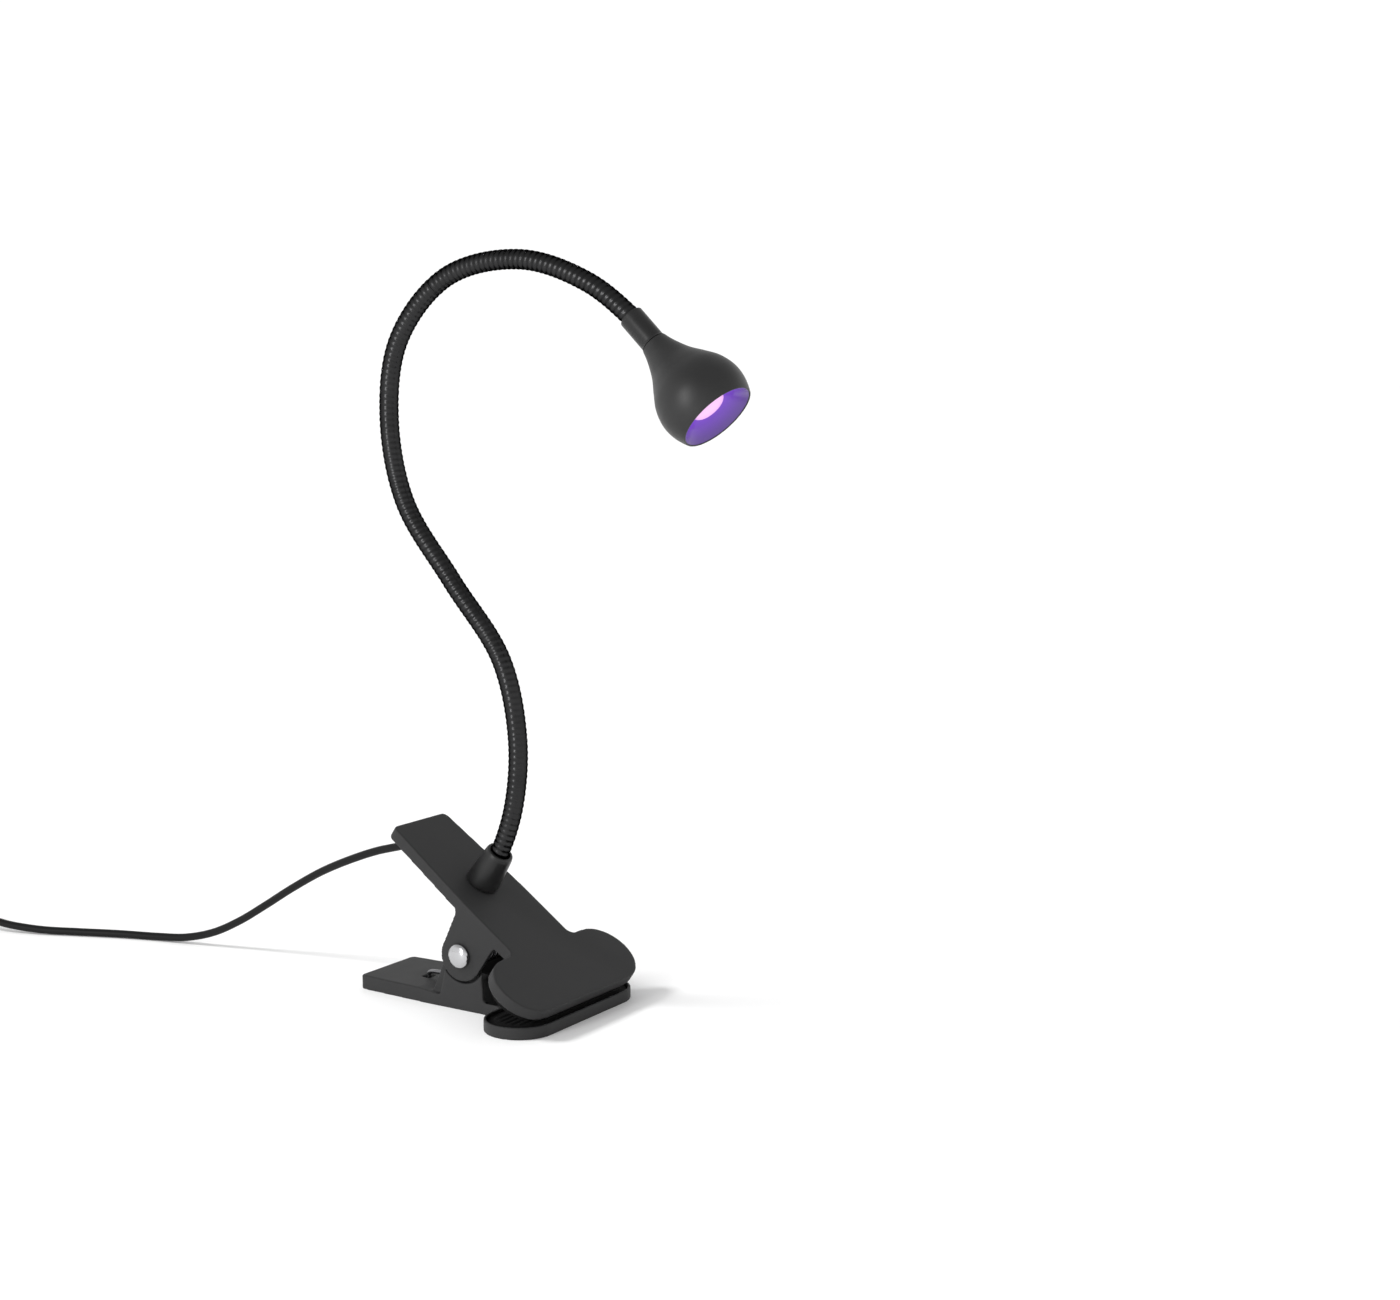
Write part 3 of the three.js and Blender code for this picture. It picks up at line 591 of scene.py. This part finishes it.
def smooth_path(points, step):
    """A centripetal Catmull-Rom curve through points, resampled at an even step."""
    p = np.array(points, float)
    p = np.vstack([2 * p[0] - p[1], p, 2 * p[-1] - p[-2]])
    dense = []
    for i in range(1, len(p) - 2):
        p0, p1, p2, p3 = p[i - 1:i + 3]
        d0, d1, d2 = (np.linalg.norm(b - a) ** 0.5 for a, b in ((p0, p1), (p1, p2), (p2, p3)))
        t1 = ((p1 - p0) / d0 - (p2 - p0) / (d0 + d1) + (p2 - p1) / d1) * d1
        t2 = ((p2 - p1) / d1 - (p3 - p1) / (d1 + d2) + (p3 - p2) / d2) * d1
        for t in np.linspace(0, 1, 60, endpoint=False):
            dense.append((2 * t ** 3 - 3 * t ** 2 + 1) * p1 + (t ** 3 - 2 * t ** 2 + t) * t1
                         + (3 * t ** 2 - 2 * t ** 3) * p2 + (t ** 3 - t ** 2) * t2)
    dense.append(p[-2])
    return resampled(np.array(dense), step)


def arc_length(path):
    return np.concatenate([[0], np.cumsum(np.linalg.norm(np.diff(path, axis=0), axis=1))])


def resampled(path, step):
    s = arc_length(path)
    count = max(int(round(s[-1] / step)), 2)
    at = np.linspace(0, s[-1], count + 1)
    return np.stack([np.interp(at, s, path[:, k]) for k in range(3)], axis=1)


def tube(path, radius, sides=16, radius_at=None):
    """A capped tube round a path, with frames carried along it without twist."""
    tangents = np.gradient(path, axis=0)
    tangents /= np.linalg.norm(tangents, axis=1)[:, None]
    side = np.cross(tangents[0], (0, 0, 1) if abs(tangents[0][2]) < 0.9 else (0, 1, 0))
    verts, faces = [], []
    for i, (point, tangent) in enumerate(zip(path, tangents)):
        side = side - tangent * (side @ tangent)
        side /= np.linalg.norm(side)
        up = np.cross(side, tangent)
        for k in range(sides):
            angle = 2 * math.pi * k / sides
            r = radius if radius_at is None else radius_at(i, angle)
            verts.append(tuple(point + r * (math.cos(angle) * side + math.sin(angle) * up)))
    for i in range(len(path) - 1):
        for k in range(sides):
            a, b = i * sides + k, i * sides + (k + 1) % sides
            faces.append((b, a, a + sides, b + sides))
    last = (len(path) - 1) * sides
    faces.append(tuple(range(sides)))
    faces.append(tuple(reversed(range(last, last + sides))))
    return verts, faces


# ---------------------------------------------------------------------------
# Camera, floor and light
# ---------------------------------------------------------------------------

def build_camera():
    azimuth, elevation, distance = math.radians(32.5), math.radians(7.9), 0.793
    back = Vector((math.sin(azimuth) * math.cos(elevation), -math.cos(azimuth) * math.cos(elevation),
                   math.sin(elevation)))
    target = Vector((0.0545, 0.0553, 0.1245))
    data = bpy.data.cameras.new("camera")
    data.sensor_width = 36.0
    data.lens = 56.6
    data.clip_start = 0.01
    camera = bpy.data.objects.new("camera", data)
    camera.location = target + back * distance
    camera.rotation_euler = back.to_track_quat("Z", "Y").to_euler()
    bpy.context.scene.collection.objects.link(camera)
    bpy.context.scene.camera = camera


def build_floor():
    material, _, shader = new_material("floor")
    shader.inputs["Base Color"].default_value = (0.93, 0.93, 0.93, 1.0)
    shader.inputs["Roughness"].default_value = 0.6
    shader.inputs["Specular IOR Level"].default_value = 0.2
    reach = 12000.0
    floor = make("floor", ([(-reach, -reach, 0), (reach, -reach, 0), (reach, reach, 0), (-reach, reach, 0)],
                           [(0, 1, 2, 3)]), material, smooth=False)


def build_light():
    """An even white studio: a pale dome, a soft key from the front left, and a tall softbox whose
    reflection is the streak on the neck."""
    scene = bpy.context.scene
    scene.view_settings.view_transform = "Standard"
    world = bpy.data.worlds.new("studio")
    scene.world = world
    world.use_nodes = True
    tree = world.node_tree
    background = tree.nodes["Background"]
    coords = tree.nodes.new("ShaderNodeTexCoord")
    split = tree.nodes.new("ShaderNodeSeparateXYZ")
    tree.links.new(coords.outputs["Generated"], split.inputs["Vector"])
    sky = ramp(tree, split.outputs["Z"], [(0.0, (1, 1, 1)), (0.3, (1, 1, 1)), (0.6, (0.62, 0.62, 0.62)),
                                          (1.0, (0.5, 0.5, 0.5))])
    tree.links.new(sky, background.inputs["Color"])
    background.inputs["Strength"].default_value = 1.05
    sun = bpy.data.lights.new("key", "SUN")
    sun.energy = 2.2
    sun.angle = math.radians(14)
    key = bpy.data.objects.new("key", sun)
    key.rotation_euler = Vector((-0.62, -0.42, 0.66)).to_track_quat("Z", "Y").to_euler()
    key.visible_glossy = False
    scene.collection.objects.link(key)
    panel = bpy.data.lights.new("softbox", "AREA")
    panel.shape = "RECTANGLE"
    panel.size, panel.size_y = 0.16, 0.55
    panel.energy = 3.4
    softbox = bpy.data.objects.new("softbox", panel)
    softbox.location = (-0.10, -0.95, 0.34)
    aim = softbox.location - Vector((0.0, 0.0, 0.15))
    softbox.rotation_euler = aim.to_track_quat("Z", "Y").to_euler()
    scene.collection.objects.link(softbox)


# ---------------------------------------------------------------------------
# Clamp
# ---------------------------------------------------------------------------

def cheek_outline():
    """The inner wall that carries the pin. Its front stops short, behind the skirt."""
    low = LOWER_THICK - 0.6
    lug = arc((0, PIN_HEIGHT), CHEEK["lug"], -10, 170, 20)
    return [(CHEEK["foot"], low), (CHEEK["lug"] - 0.4, low), (CHEEK["lug"] - 0.2, PIN_HEIGHT - 3)] + lug


def skirt_outline():
    """A thin wall outside the cheek, level with the ear, hollowed so that a slit shows round the ear."""
    low = LOWER_THICK - 0.6
    hollow = EAR["lug"] + SLIT["width"]
    start = math.degrees(math.asin((SLIT["crest_front"] - PIN_HEIGHT) / hollow))
    end = -180 - math.degrees(math.asin((SLIT["crest_back"] - PIN_HEIGHT) / hollow))
    foot = [(CHEEK["front"] + 1.8 * (1 - math.sin(a)), low + 2.6 * (1 - math.cos(a)))
            for a in np.radians(np.linspace(0, 90, 7))]
    return [(CHEEK["back"], low)] + foot + arc((EAR["centre"], PIN_HEIGHT), hollow, start, end, 24)


def ear_outline():
    root = UPPER_UNDER + 1.0
    back, front = EAR["back"], EAR["front"]
    return ([(back - 3, root), (back - 1.2, root - 1.0), (back - 0.3, root - 2.4), (back, root - 4)]
            + arc((EAR["centre"], 0), EAR["lug"], 180, 360, 28)
            + [(front, root - 4), (front + 0.6, root)])


def build_lower_lever():
    outline = lever_outline(LOWER)
    bar = (LOWER["bar_x"], LOWER["bar_r"], LOWER["bar_half"])
    cheek = cheek_outline()
    skirt = skirt_outline()
    lever = make("lower_lever_plate", prism(outline, 0, HANDLE_THICK), LEVER_PLASTIC_PAINTED_SHADE)
    over = HANDLE_THICK + 3
    ramp = prism_y([(RAMP[1], LOWER_THICK), (60, LOWER_THICK), (60, over), (RAMP[0], over),
                    (RAMP[0], HANDLE_THICK)], -50, 50)
    plate = mesh_shape(cut_away(lever, [ramp]))
    shapes = [plate]
    for side in (-1, 1):
        shapes.append(prism_y(cheek, *sorted((side * CHEEK["inner"], side * CHEEK["outer"]))))
        shapes.append(prism_y(skirt, *sorted((side * (CHEEK["skirt"] - 1.3), side * CHEEK["skirt"]))))
    pin_bore = shifted(moved(rod(PIN["bore"], -25, 25), TO_Y), z=PIN_HEIGHT)
    slot = cuboid((SLOT["x"] - SLOT["length"] / 2, SLOT["x"] + SLOT["length"] / 2),
                  (SLOT["y"] - SLOT["width"] / 2, SLOT["y"] + SLOT["width"] / 2),
                  (HANDLE_THICK - SLOT["depth"], HANDLE_THICK + 2))
    seat = prism(bar_outline(*bar, inset=LOWER_RIM), LOWER_THICK - LOWER_SEAT, LOWER_THICK + 2)
    lever = moulded("lower_lever_body", shapes, LEVER_PLASTIC_PAINTED_SHADE, cuts=[seat, slot, pin_bore])
    finish_piece(lever, "lower_jaw", ["lower_lever"])


def pad_ribs(bar_x, radius, half, inset, low, high, count=6):
    """Grip ribs along a jaw pad, each shortened to stay inside its round ends."""
    r = radius - inset - 1.0
    run = half - radius
    shapes = []
    for i in range(count):
        x = -r + (i + 0.5) * 2 * r / count
        reach = run + math.sqrt(max(r * r - x * x, 0))
        shapes.append(cuboid((bar_x + x - 0.6, bar_x + x + 0.6), (-reach, reach), (low, high)))
    return shapes


def build_pads():
    inset = LOWER_RIM + GAP
    bar = (LOWER["bar_x"], LOWER["bar_r"], LOWER["bar_half"])
    foot = LOWER_THICK - LOWER_SEAT + GAP
    shapes = [prism(bar_outline(*bar, inset=inset), foot, LOWER_THICK - 1.1)]
    shapes += [prism(bar_outline(*bar, inset=inset + 2.4), foot, LOWER_THICK - 0.4)]
    shapes += pad_ribs(*bar, inset + 2.6, foot + 0.5, LOWER_THICK)
    pad = moulded("lower_pad", shapes, RUBBER, voxel=0.3, rounds=3)
    finish_piece(pad, "lower_jaw", ["lower_jaw_pad"])

    inset = UPPER_WALL + GAP
    bar = (UPPER["bar_x"], UPPER["bar_r"], UPPER["bar_half"])
    shapes = [prism(bar_outline(*bar, inset=inset), UPPER_PAD_FACE + 0.6, UPPER_CEILING - GAP)]
    shapes += pad_ribs(*bar, inset, UPPER_PAD_FACE, UPPER_CEILING - 1)
    pad = moulded("upper_pad", shapes, RUBBER, voxel=0.3, rounds=3, place=UPPER_FRAME)
    finish_piece(pad, "upper_jaw", ["upper_jaw_pad"])


def build_upper_lever():
    outline = lever_outline(UPPER)
    inner = lever_outline(UPPER, UPPER_WALL)
    ear = ear_outline()
    shapes = [
        prism(outline, UPPER_CEILING, UPPER_TOP),
        wall(outline, inner, UPPER_UNDER, UPPER_CEILING + 1),
        prism_y(ear, EAR["inner"], EAR["outer"]),
        prism_y(ear, -EAR["outer"], -EAR["inner"]),
    ]
    cuts = [moved(rod(PIN["bore"], -25, 25), TO_Y), shifted(rod(3.6, 10, 20), x=COLLAR_U)]
    lever = moulded("upper_lever_body", shapes, LEVER_PLASTIC_PAINTED_SHADE, cuts=cuts, place=UPPER_FRAME)
    finish_piece(lever, "upper_jaw", ["upper_lever"])


def domed_head(radius, rise, base):
    """Profile of a low round head standing on base, with a rolled edge."""
    points = [(0, base), (radius - 0.3, base), (radius, base + 0.25)]
    for i in range(1, 13):
        angle = math.radians(90 * i / 12)
        points.append((radius * math.cos(angle) if i < 12 else 0, base + 0.4 + rise * math.sin(angle)))
    return points


def build_pin():
    face = EAR["outer"] + GAP
    dome = lathe(domed_head(PIN["head"], PIN["rise"], 0))
    shank = moved(rod(PIN["radius"], -face - 0.2, face + 0.8), TO_Y)
    head = shifted(moved(dome, TO_MINUS_Y), y=-face)
    pin = make("pin", shifted(joined(shank, head), z=PIN_HEIGHT), CHROME)
    finish_piece(crisp(pin), "lower_jaw", ["hinge_pin"])
    cap = make("pin_cap", shifted(moved(dome, TO_Y), y=face, z=PIN_HEIGHT), CHROME)
    finish_piece(crisp(cap), "lower_jaw", ["pin_push_cap"])


def build_spring():
    """A torsion spring: one leg in the lower handle's slot, the other under the upper handle."""
    radius, wire, turns, half = SPRING["radius"], SPRING["wire"], SPRING["turns"], SPRING["half"]
    points = [(SLOT["x"], SLOT["y"], HANDLE_THICK - 0.8),
              (SLOT["x"] + 0.4, SLOT["y"] - 0.2, HANDLE_THICK + 1.3),
              (SLOT["x"] * 0.45, 0.6 - half, 9.4)]
    steps = int(turns * 24)
    for i in range(steps + 1):
        angle = math.radians(-90) + i / 24 * 2 * math.pi
        points.append((radius * math.cos(angle), -half + 2 * half * i / steps,
                       PIN_HEIGHT + radius * math.sin(angle)))
    ceiling = UPPER_CEILING - GAP - wire
    for u, n in ((-13, ceiling - 4.4), (-26, ceiling)):
        points.append(tuple(UPPER_FRAME @ Vector((u, half, n))))
    spring = make("spring", tube(smooth_path(points, 0.5), wire, 14), STEEL)
    crisp(spring)
    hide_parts("torsion_spring")
    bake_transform(spring)


# ---------------------------------------------------------------------------
# Neck
# ---------------------------------------------------------------------------

def build_neck_mount():
    foot = UPPER_TOP + GAP
    crown = UPPER_TOP + 15.0
    profile = softened([
        (3.6, foot), (6.2, foot), (6.2, foot + 1.6), (5.2, crown - 1.6), (4.9, crown - 0.3),
        (4.5, crown), (3.8, crown), (3.8, foot + 7), (1.95, foot + 7), (1.95, foot + 4.6),
        (3.6, foot + 4.6), (3.6, foot),
    ], 0.35)
    collar = make("collar", moved(shifted(lathe(profile), x=COLLAR_U), UPPER_FRAME), BLACK_METAL)
    finish_piece(crisp(collar, 50), "upper_jaw", ["neck_collar"])
    for node in ("mount_stud", "mount_washer", "mount_nut"):
        dress_node(node, STEEL, 0.2)
    dress_node("cable_saddle", PLASTIC, 0.4)


def rib_radius(distance, angle):
    """Radius of the wound armour: rounded ribs on a helix with narrow grooves between them."""
    phase = 2 * math.pi * distance / NECK_PITCH - angle
    return NECK_R - NECK_RIB * (0.5 + 0.5 * math.cos(phase))


def build_neck():
    """Seven stretches of winding, each with a neck joint in its middle."""
    path = smooth_path([(x, 0, z) for x, z in NECK_XZ], NECK_PITCH / 10)
    s = arc_length(path)
    names = ["neck_bend_1", "neck_sway_1", "neck_bend_2", "neck_sway_2", "neck_bend_3", "neck_sway_3",
             "head_tilt"]
    stations = []
    for name in names:
        pivot = np.array(JOINTS[name]["pos_m"]) / MM
        stations.append(int(np.argmin(np.linalg.norm(path - pivot, axis=1))))
    first = int(np.searchsorted(s, NECK_IN_COLLAR))
    last = int(np.searchsorted(s, s[-1] - NECK_IN_SLEEVE))
    cuts = [first] + [(a + b) // 2 for a, b in zip(stations, stations[1:])] + [last]
    for i, (name, station) in enumerate(zip(names, stations)):
        start, end = cuts[i], cuts[i + 1]
        stretch = path[start:end + 1]
        shape = tube(stretch, NECK_R, 28,
                     lambda k, angle, start=start: rib_radius(s[start + k], angle))
        armour = make(f"neck_winding_{i + 1}", shape, NECK_METAL)
        crisp(armour, 60)
        nodes = [f"neck_armour_{i + 1}"] + (["neck_armour_8"] if i == 6 else [])
        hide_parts(*nodes)
        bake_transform(armour)
    for i in range(1, 9):
        dress_node(f"neck_lead_{i}", JACKET)


# ---------------------------------------------------------------------------
# Head
# ---------------------------------------------------------------------------

def spline_profile(points, step=0.6):
    """A smooth profile of (radius, height) through points."""
    path = smooth_path([(r, 0, z) for r, z in points], step)
    return [(float(r), float(z)) for r, _, z in path]


def build_head():
    sleeve = softened([(3.8, -0.5), (4.3, -0.5), (4.3, 11.4), (4.6, 12.0), (2.2, 12.0), (2.2, 8.0),
                       (3.8, 8.0), (3.8, -0.5)], 0.3)
    piece = make("sleeve", moved(lathe(sleeve), HEAD_FRAME), BLACK_METAL)
    finish_piece(crisp(piece, 50), "head", ["neck_sleeve"])

    outer = spline_profile(BELL_OUTSIDE)
    lip = arc((13.3, 45.95), 0.3, 20, 160, 8)
    inner = spline_profile(BELL_INSIDE, 1.0)
    throat = [(6.0, 20.8), (2.2, 20.6), (2.2, 12.3)]
    profile = outer + lip + inner + throat + [outer[0]]
    bell = make("bell", moved(lathe(profile, 96), HEAD_FRAME), BELL_PLASTIC)
    finish_piece(crisp(bell, 50), "head", ["bell_shell"])

    dress_node("heat_sink", ALUMINIUM, 0.2)
    for node in ("led_board", "led_package"):
        dress_node(node, WHITE, 0.15)
    cup = softened(CUP_INSIDE + CUP_OUTSIDE + CUP_INSIDE[:1], 0.2)
    piece = make("cup", moved(lathe(cup, 96), HEAD_FRAME), CUP_PAINTED_GLOW)
    finish_piece(crisp(piece, 50), "head", ["reflector_cup"])
    radius, foot, side, top = LENS["radius"], LENS["foot"], LENS["side"], LENS["top"]
    lens = [(0, foot), (radius, foot)]
    lens += [(radius * math.cos(a) ** 0.6, side + (top - side) * math.sin(a))
             for a in np.radians(np.linspace(0, 86, 18))] + [(0, top)]
    piece = make("lens", moved(lathe(lens, 64), HEAD_FRAME), LENS_GLOW)
    finish_piece(crisp(piece, 50), "head", ["led_lens"])


# ---------------------------------------------------------------------------
# Lead, switch and plug
# ---------------------------------------------------------------------------

def coil_path():
    """Turns of the tied spare lead: one 3 x 3 bundle, each turn a little short of a full circle."""
    centre, low, layer = COIL["centre"], COIL["low"], COIL["layer"]
    lap, change, whole, step = (math.radians(COIL[key]) for key in ("lap", "change", "whole", "step"))
    points = []
    for angle in np.arange(0, whole + 1e-6, step):
        k = min(int(angle / lap), len(COIL_LAPS) - 1)
        radius, level = COIL_LAPS[k]
        since = angle - k * lap
        if k > 0 and since < change:
            t = since / change
            t = t * t * (3 - 2 * t)
            before_radius, before_level = COIL_LAPS[k - 1]
            radius = before_radius + (radius - before_radius) * t
            level = before_level + (level - before_level) * t
        direction = math.radians(-90) - angle
        points.append((centre[0] + radius * math.cos(direction),
                       centre[1] + radius * math.sin(direction), low + layer * level))
    return points


def build_cords(switch_pieces, plug_pieces):
    path = smooth_path(LAMP_CORD, 1.5)
    cord = make("lamp_lead", tube(path, CORD_R, 16), JACKET)
    crisp(cord, 60)
    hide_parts("lamp_cord")
    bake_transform(cord)

    path = smooth_path(USB_CORD_START + coil_path() + USB_CORD_END, 1.5)
    cord = make("usb_lead", tube(path, CORD_R, 14), JACKET)
    crisp(cord, 60)
    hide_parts("usb_cord", "cord_coil", "usb_tail")
    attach(cord, "lower_jaw")


def build_lead_feed():
    """The stretch of lead from the stud to the saddle clip, under the upper handle."""
    path = smooth_path([tuple(UPPER_FRAME @ Vector((u, 0, n))) for u, n in FEED], 1.0)
    feed = make("lead_under_handle", tube(path, CORD_R, 16), JACKET)
    finish_piece(crisp(feed, 60), "upper_jaw", ["lead_feed"])


def soft_block(width, depth, corner, low, high, low_edge, high_edge, steps=5):
    """A rounded rectangle in plan with rounded lower and upper edges."""
    levels = []
    for k in range(steps + 1):
        a = math.radians(90 * k / steps)
        levels.append((low_edge * (1 - math.sin(a)), low + low_edge * (1 - math.cos(a))))
    for k in range(steps + 1):
        a = math.radians(90 * k / steps)
        levels.append((high_edge * (1 - math.cos(a)), high - high_edge * (1 - math.sin(a))))
    verts, faces = [], []
    for inset, z in levels:
        loop = rounded_rect(width - 2 * inset, depth - 2 * inset, max(corner - inset, 0.3))
        verts += [(x, y, z) for x, y in loop]
    n = len(verts) // len(levels)
    for row in range(len(levels) - 1):
        for i in range(n):
            a, b = row * n + i, row * n + (i + 1) % n
            faces.append((a, b, b + n, a + n))
    faces.append(tuple(reversed(range(n))))
    faces.append(tuple(range(len(verts) - n, len(verts))))
    return verts, faces


def strain_relief(wide, narrow, length, rings=3):
    """A tapering boot with flex rings, along Z from its wide end."""
    hole = CORD_R + 0.1
    profile = [(hole, 0.0), (wide, 0.0)]
    pitch = length / (rings + 0.5)
    for i in range(rings):
        z = (i + 0.45) * pitch
        r = wide + (narrow - wide) * z / length
        profile += [(r, z), (r - 0.55, z + 0.15), (r - 0.6, z + 0.4 * pitch),
                    (r - 0.05, z + 0.4 * pitch + 0.2)]
    profile += [(narrow, length), (hole, length), (hole, 0.0)]
    return lathe(softened(profile, 0.12, 2), 32)


def build_switch():
    base_low, base_high = frame_box("switch_base")
    cover_low, cover_high = frame_box("switch_cover")
    middle = (base_low + base_high) / 2
    length, width = (base_high - base_low)[:2]
    axis_z = LAMP_CORD[-1][2]
    button_r = (frame_box("switch_button")[1] - frame_box("switch_button")[0])[0] / 2

    body = soft_block(length, width, SWITCH_CORNER, base_low[2], base_high[2], 0.8, 0.15)
    base = make("switch_lower_half", shifted(body, middle[0], middle[1]), PLASTIC)
    pieces = [finish_piece(crisp(base, 50), "lower_jaw", ["switch_base"])]

    body = soft_block(length, width, SWITCH_CORNER, cover_low[2], cover_high[2], 0.15, 1.6)
    cover = make("switch_upper_half", shifted(body, middle[0], middle[1]), PLASTIC)
    well = rod(button_r + 0.3, cover_low[2] + 2.6, cover_high[2] + 2)
    dish = lathe([(0, cover_high[2] - 0.7), (button_r + 0.9, cover_high[2] - 0.7),
                  (button_r + 2.2, cover_high[2] + 0.5), (0, cover_high[2] + 0.5)], 48)
    cut_away(cover, [shifted(dish, middle[0], middle[1]), shifted(well, middle[0], middle[1])])
    for side in (-1, 1):
        groove = cuboid((-0.35, 0.35), (-width, width), (cover_high[2] - 0.35, cover_high[2] + 1))
        for i in range(4):
            cut_away(cover, [shifted(groove, middle[0] + side * (11.5 + 1.8 * i), middle[1])])
    pieces.append(finish_piece(crisp(smoothly(cover), 40), "lower_jaw", ["switch_cover"]))

    low, high = frame_box("switch_button")
    crown = [(0, low[2]), (button_r, low[2]), (button_r, high[2] - 0.8)]
    crown += [(button_r - 0.8 + 0.8 * math.cos(a), high[2] - 0.8 + 0.8 * math.sin(a))
              for a in np.radians((20, 45, 70, 90))]
    crown += [(2.2, high[2] - 0.05), (1.2, high[2] - 0.3), (0, high[2] - 0.38)]
    button = make("button_cap", shifted(lathe(crown, 48), middle[0], middle[1]), PLASTIC)
    pieces.append(finish_piece(crisp(button), "push_button", ["switch_button"]))

    for node, turn in (("switch_relief_lamp", 1), ("switch_relief_usb", -1)):
        low, high = frame_box(node)
        boot = strain_relief(BOOT_WIDE, BOOT_NARROW, high[0] - low[0])
        boot = moved(boot, Matrix.Rotation(turn * math.pi / 2, 4, "Y"))
        boot = shifted(boot, low[0] if turn > 0 else high[0], middle[1], axis_z)
        piece = make("boot_" + node.split("_")[-1], boot, RUBBER)
        pieces.append(finish_piece(crisp(piece, 50), "lower_jaw", [node]))
    return pieces + [dress_node("switch_contact", STEEL)]


def build_plug():
    low, high = frame_box("plug_relief")
    centre = (low + high) / 2
    to_y = Matrix.Translation((centre[0], 0, centre[2])) @ Matrix.Rotation(-math.pi / 2, 4, "X")
    boot = moved(strain_relief(BOOT_WIDE, BOOT_NARROW, high[1] - low[1]), Matrix.Rotation(math.pi, 4, "X"))
    boot = moved(shifted(boot, z=high[1]), to_y)
    boot = crisp(make("boot_plug", boot, RUBBER), 50)
    pieces = [finish_piece(boot, "lower_jaw", ["plug_relief"])]

    low, high = frame_box("plug_overmould")
    width, thick = high[0] - low[0], high[2] - low[2]
    body = make("plug_grip", moved(soft_block(width, thick, 2, low[1], high[1], 1.2, 0.6), to_y), PLASTIC)
    for i in range(5):
        y = low[1] + 4.5 + 1.7 * i
        for face in (low[2] - 0.6, high[2] - 0.4):
            cut_away(body, [cuboid((low[0] + 2.4, high[0] - 2.4), (y, y + 0.8), (face, face + 1.0))])
    pieces.append(finish_piece(crisp(smoothly(body), 40), "lower_jaw", ["plug_overmould"]))

    low, high = frame_box("plug_shell")
    width, thick, sheet = high[0] - low[0], high[2] - low[2], 0.35
    outer = rounded_rect(width, thick, 0.6)
    inner = rounded_rect(width - 2 * sheet, thick - 2 * sheet, 0.3)
    shell = make("plug_sleeve", moved(wall(outer, inner, low[1], high[1]), to_y), CHROME)
    for x in (centre[0] - 2.9, centre[0] + 2.9):
        cut_away(shell, [cuboid((x - 1.1, x + 1.1), (low[1] + 5, low[1] + 7.4), (low[2] - 1, high[2] + 1))])
    pieces.append(finish_piece(crisp(smoothly(shell), 35), "lower_jaw", ["plug_shell"]))

    low, high = frame_box("plug_tongue")
    tongue = make("plug_insulator", cuboid(*zip(low, high)), WHITE)
    pieces.append(finish_piece(crisp(tongue, 35), "lower_jaw", ["plug_tongue"]))
    pads = [cuboid((centre[0] + x - 0.5, centre[0] + x + 0.5), (high[1] - 8.5, high[1] - 0.6),
                   (low[2] - 0.12, low[2] + 0.1)) for x in (-3.5, -1.2, 1.2, 3.5)]
    contacts = make("plug_contacts", joined(*pads), GOLD)
    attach(contacts, "lower_jaw")
    return pieces + [contacts, dress_node("coil_tie", PLASTIC, 0.5)]


build_camera()
build_floor()
build_light()
build_cords(build_switch(), build_plug())
build_lead_feed()
build_lower_lever()
build_upper_lever()
build_pads()
build_pin()
build_spring()
build_neck_mount()
build_neck()
build_head()
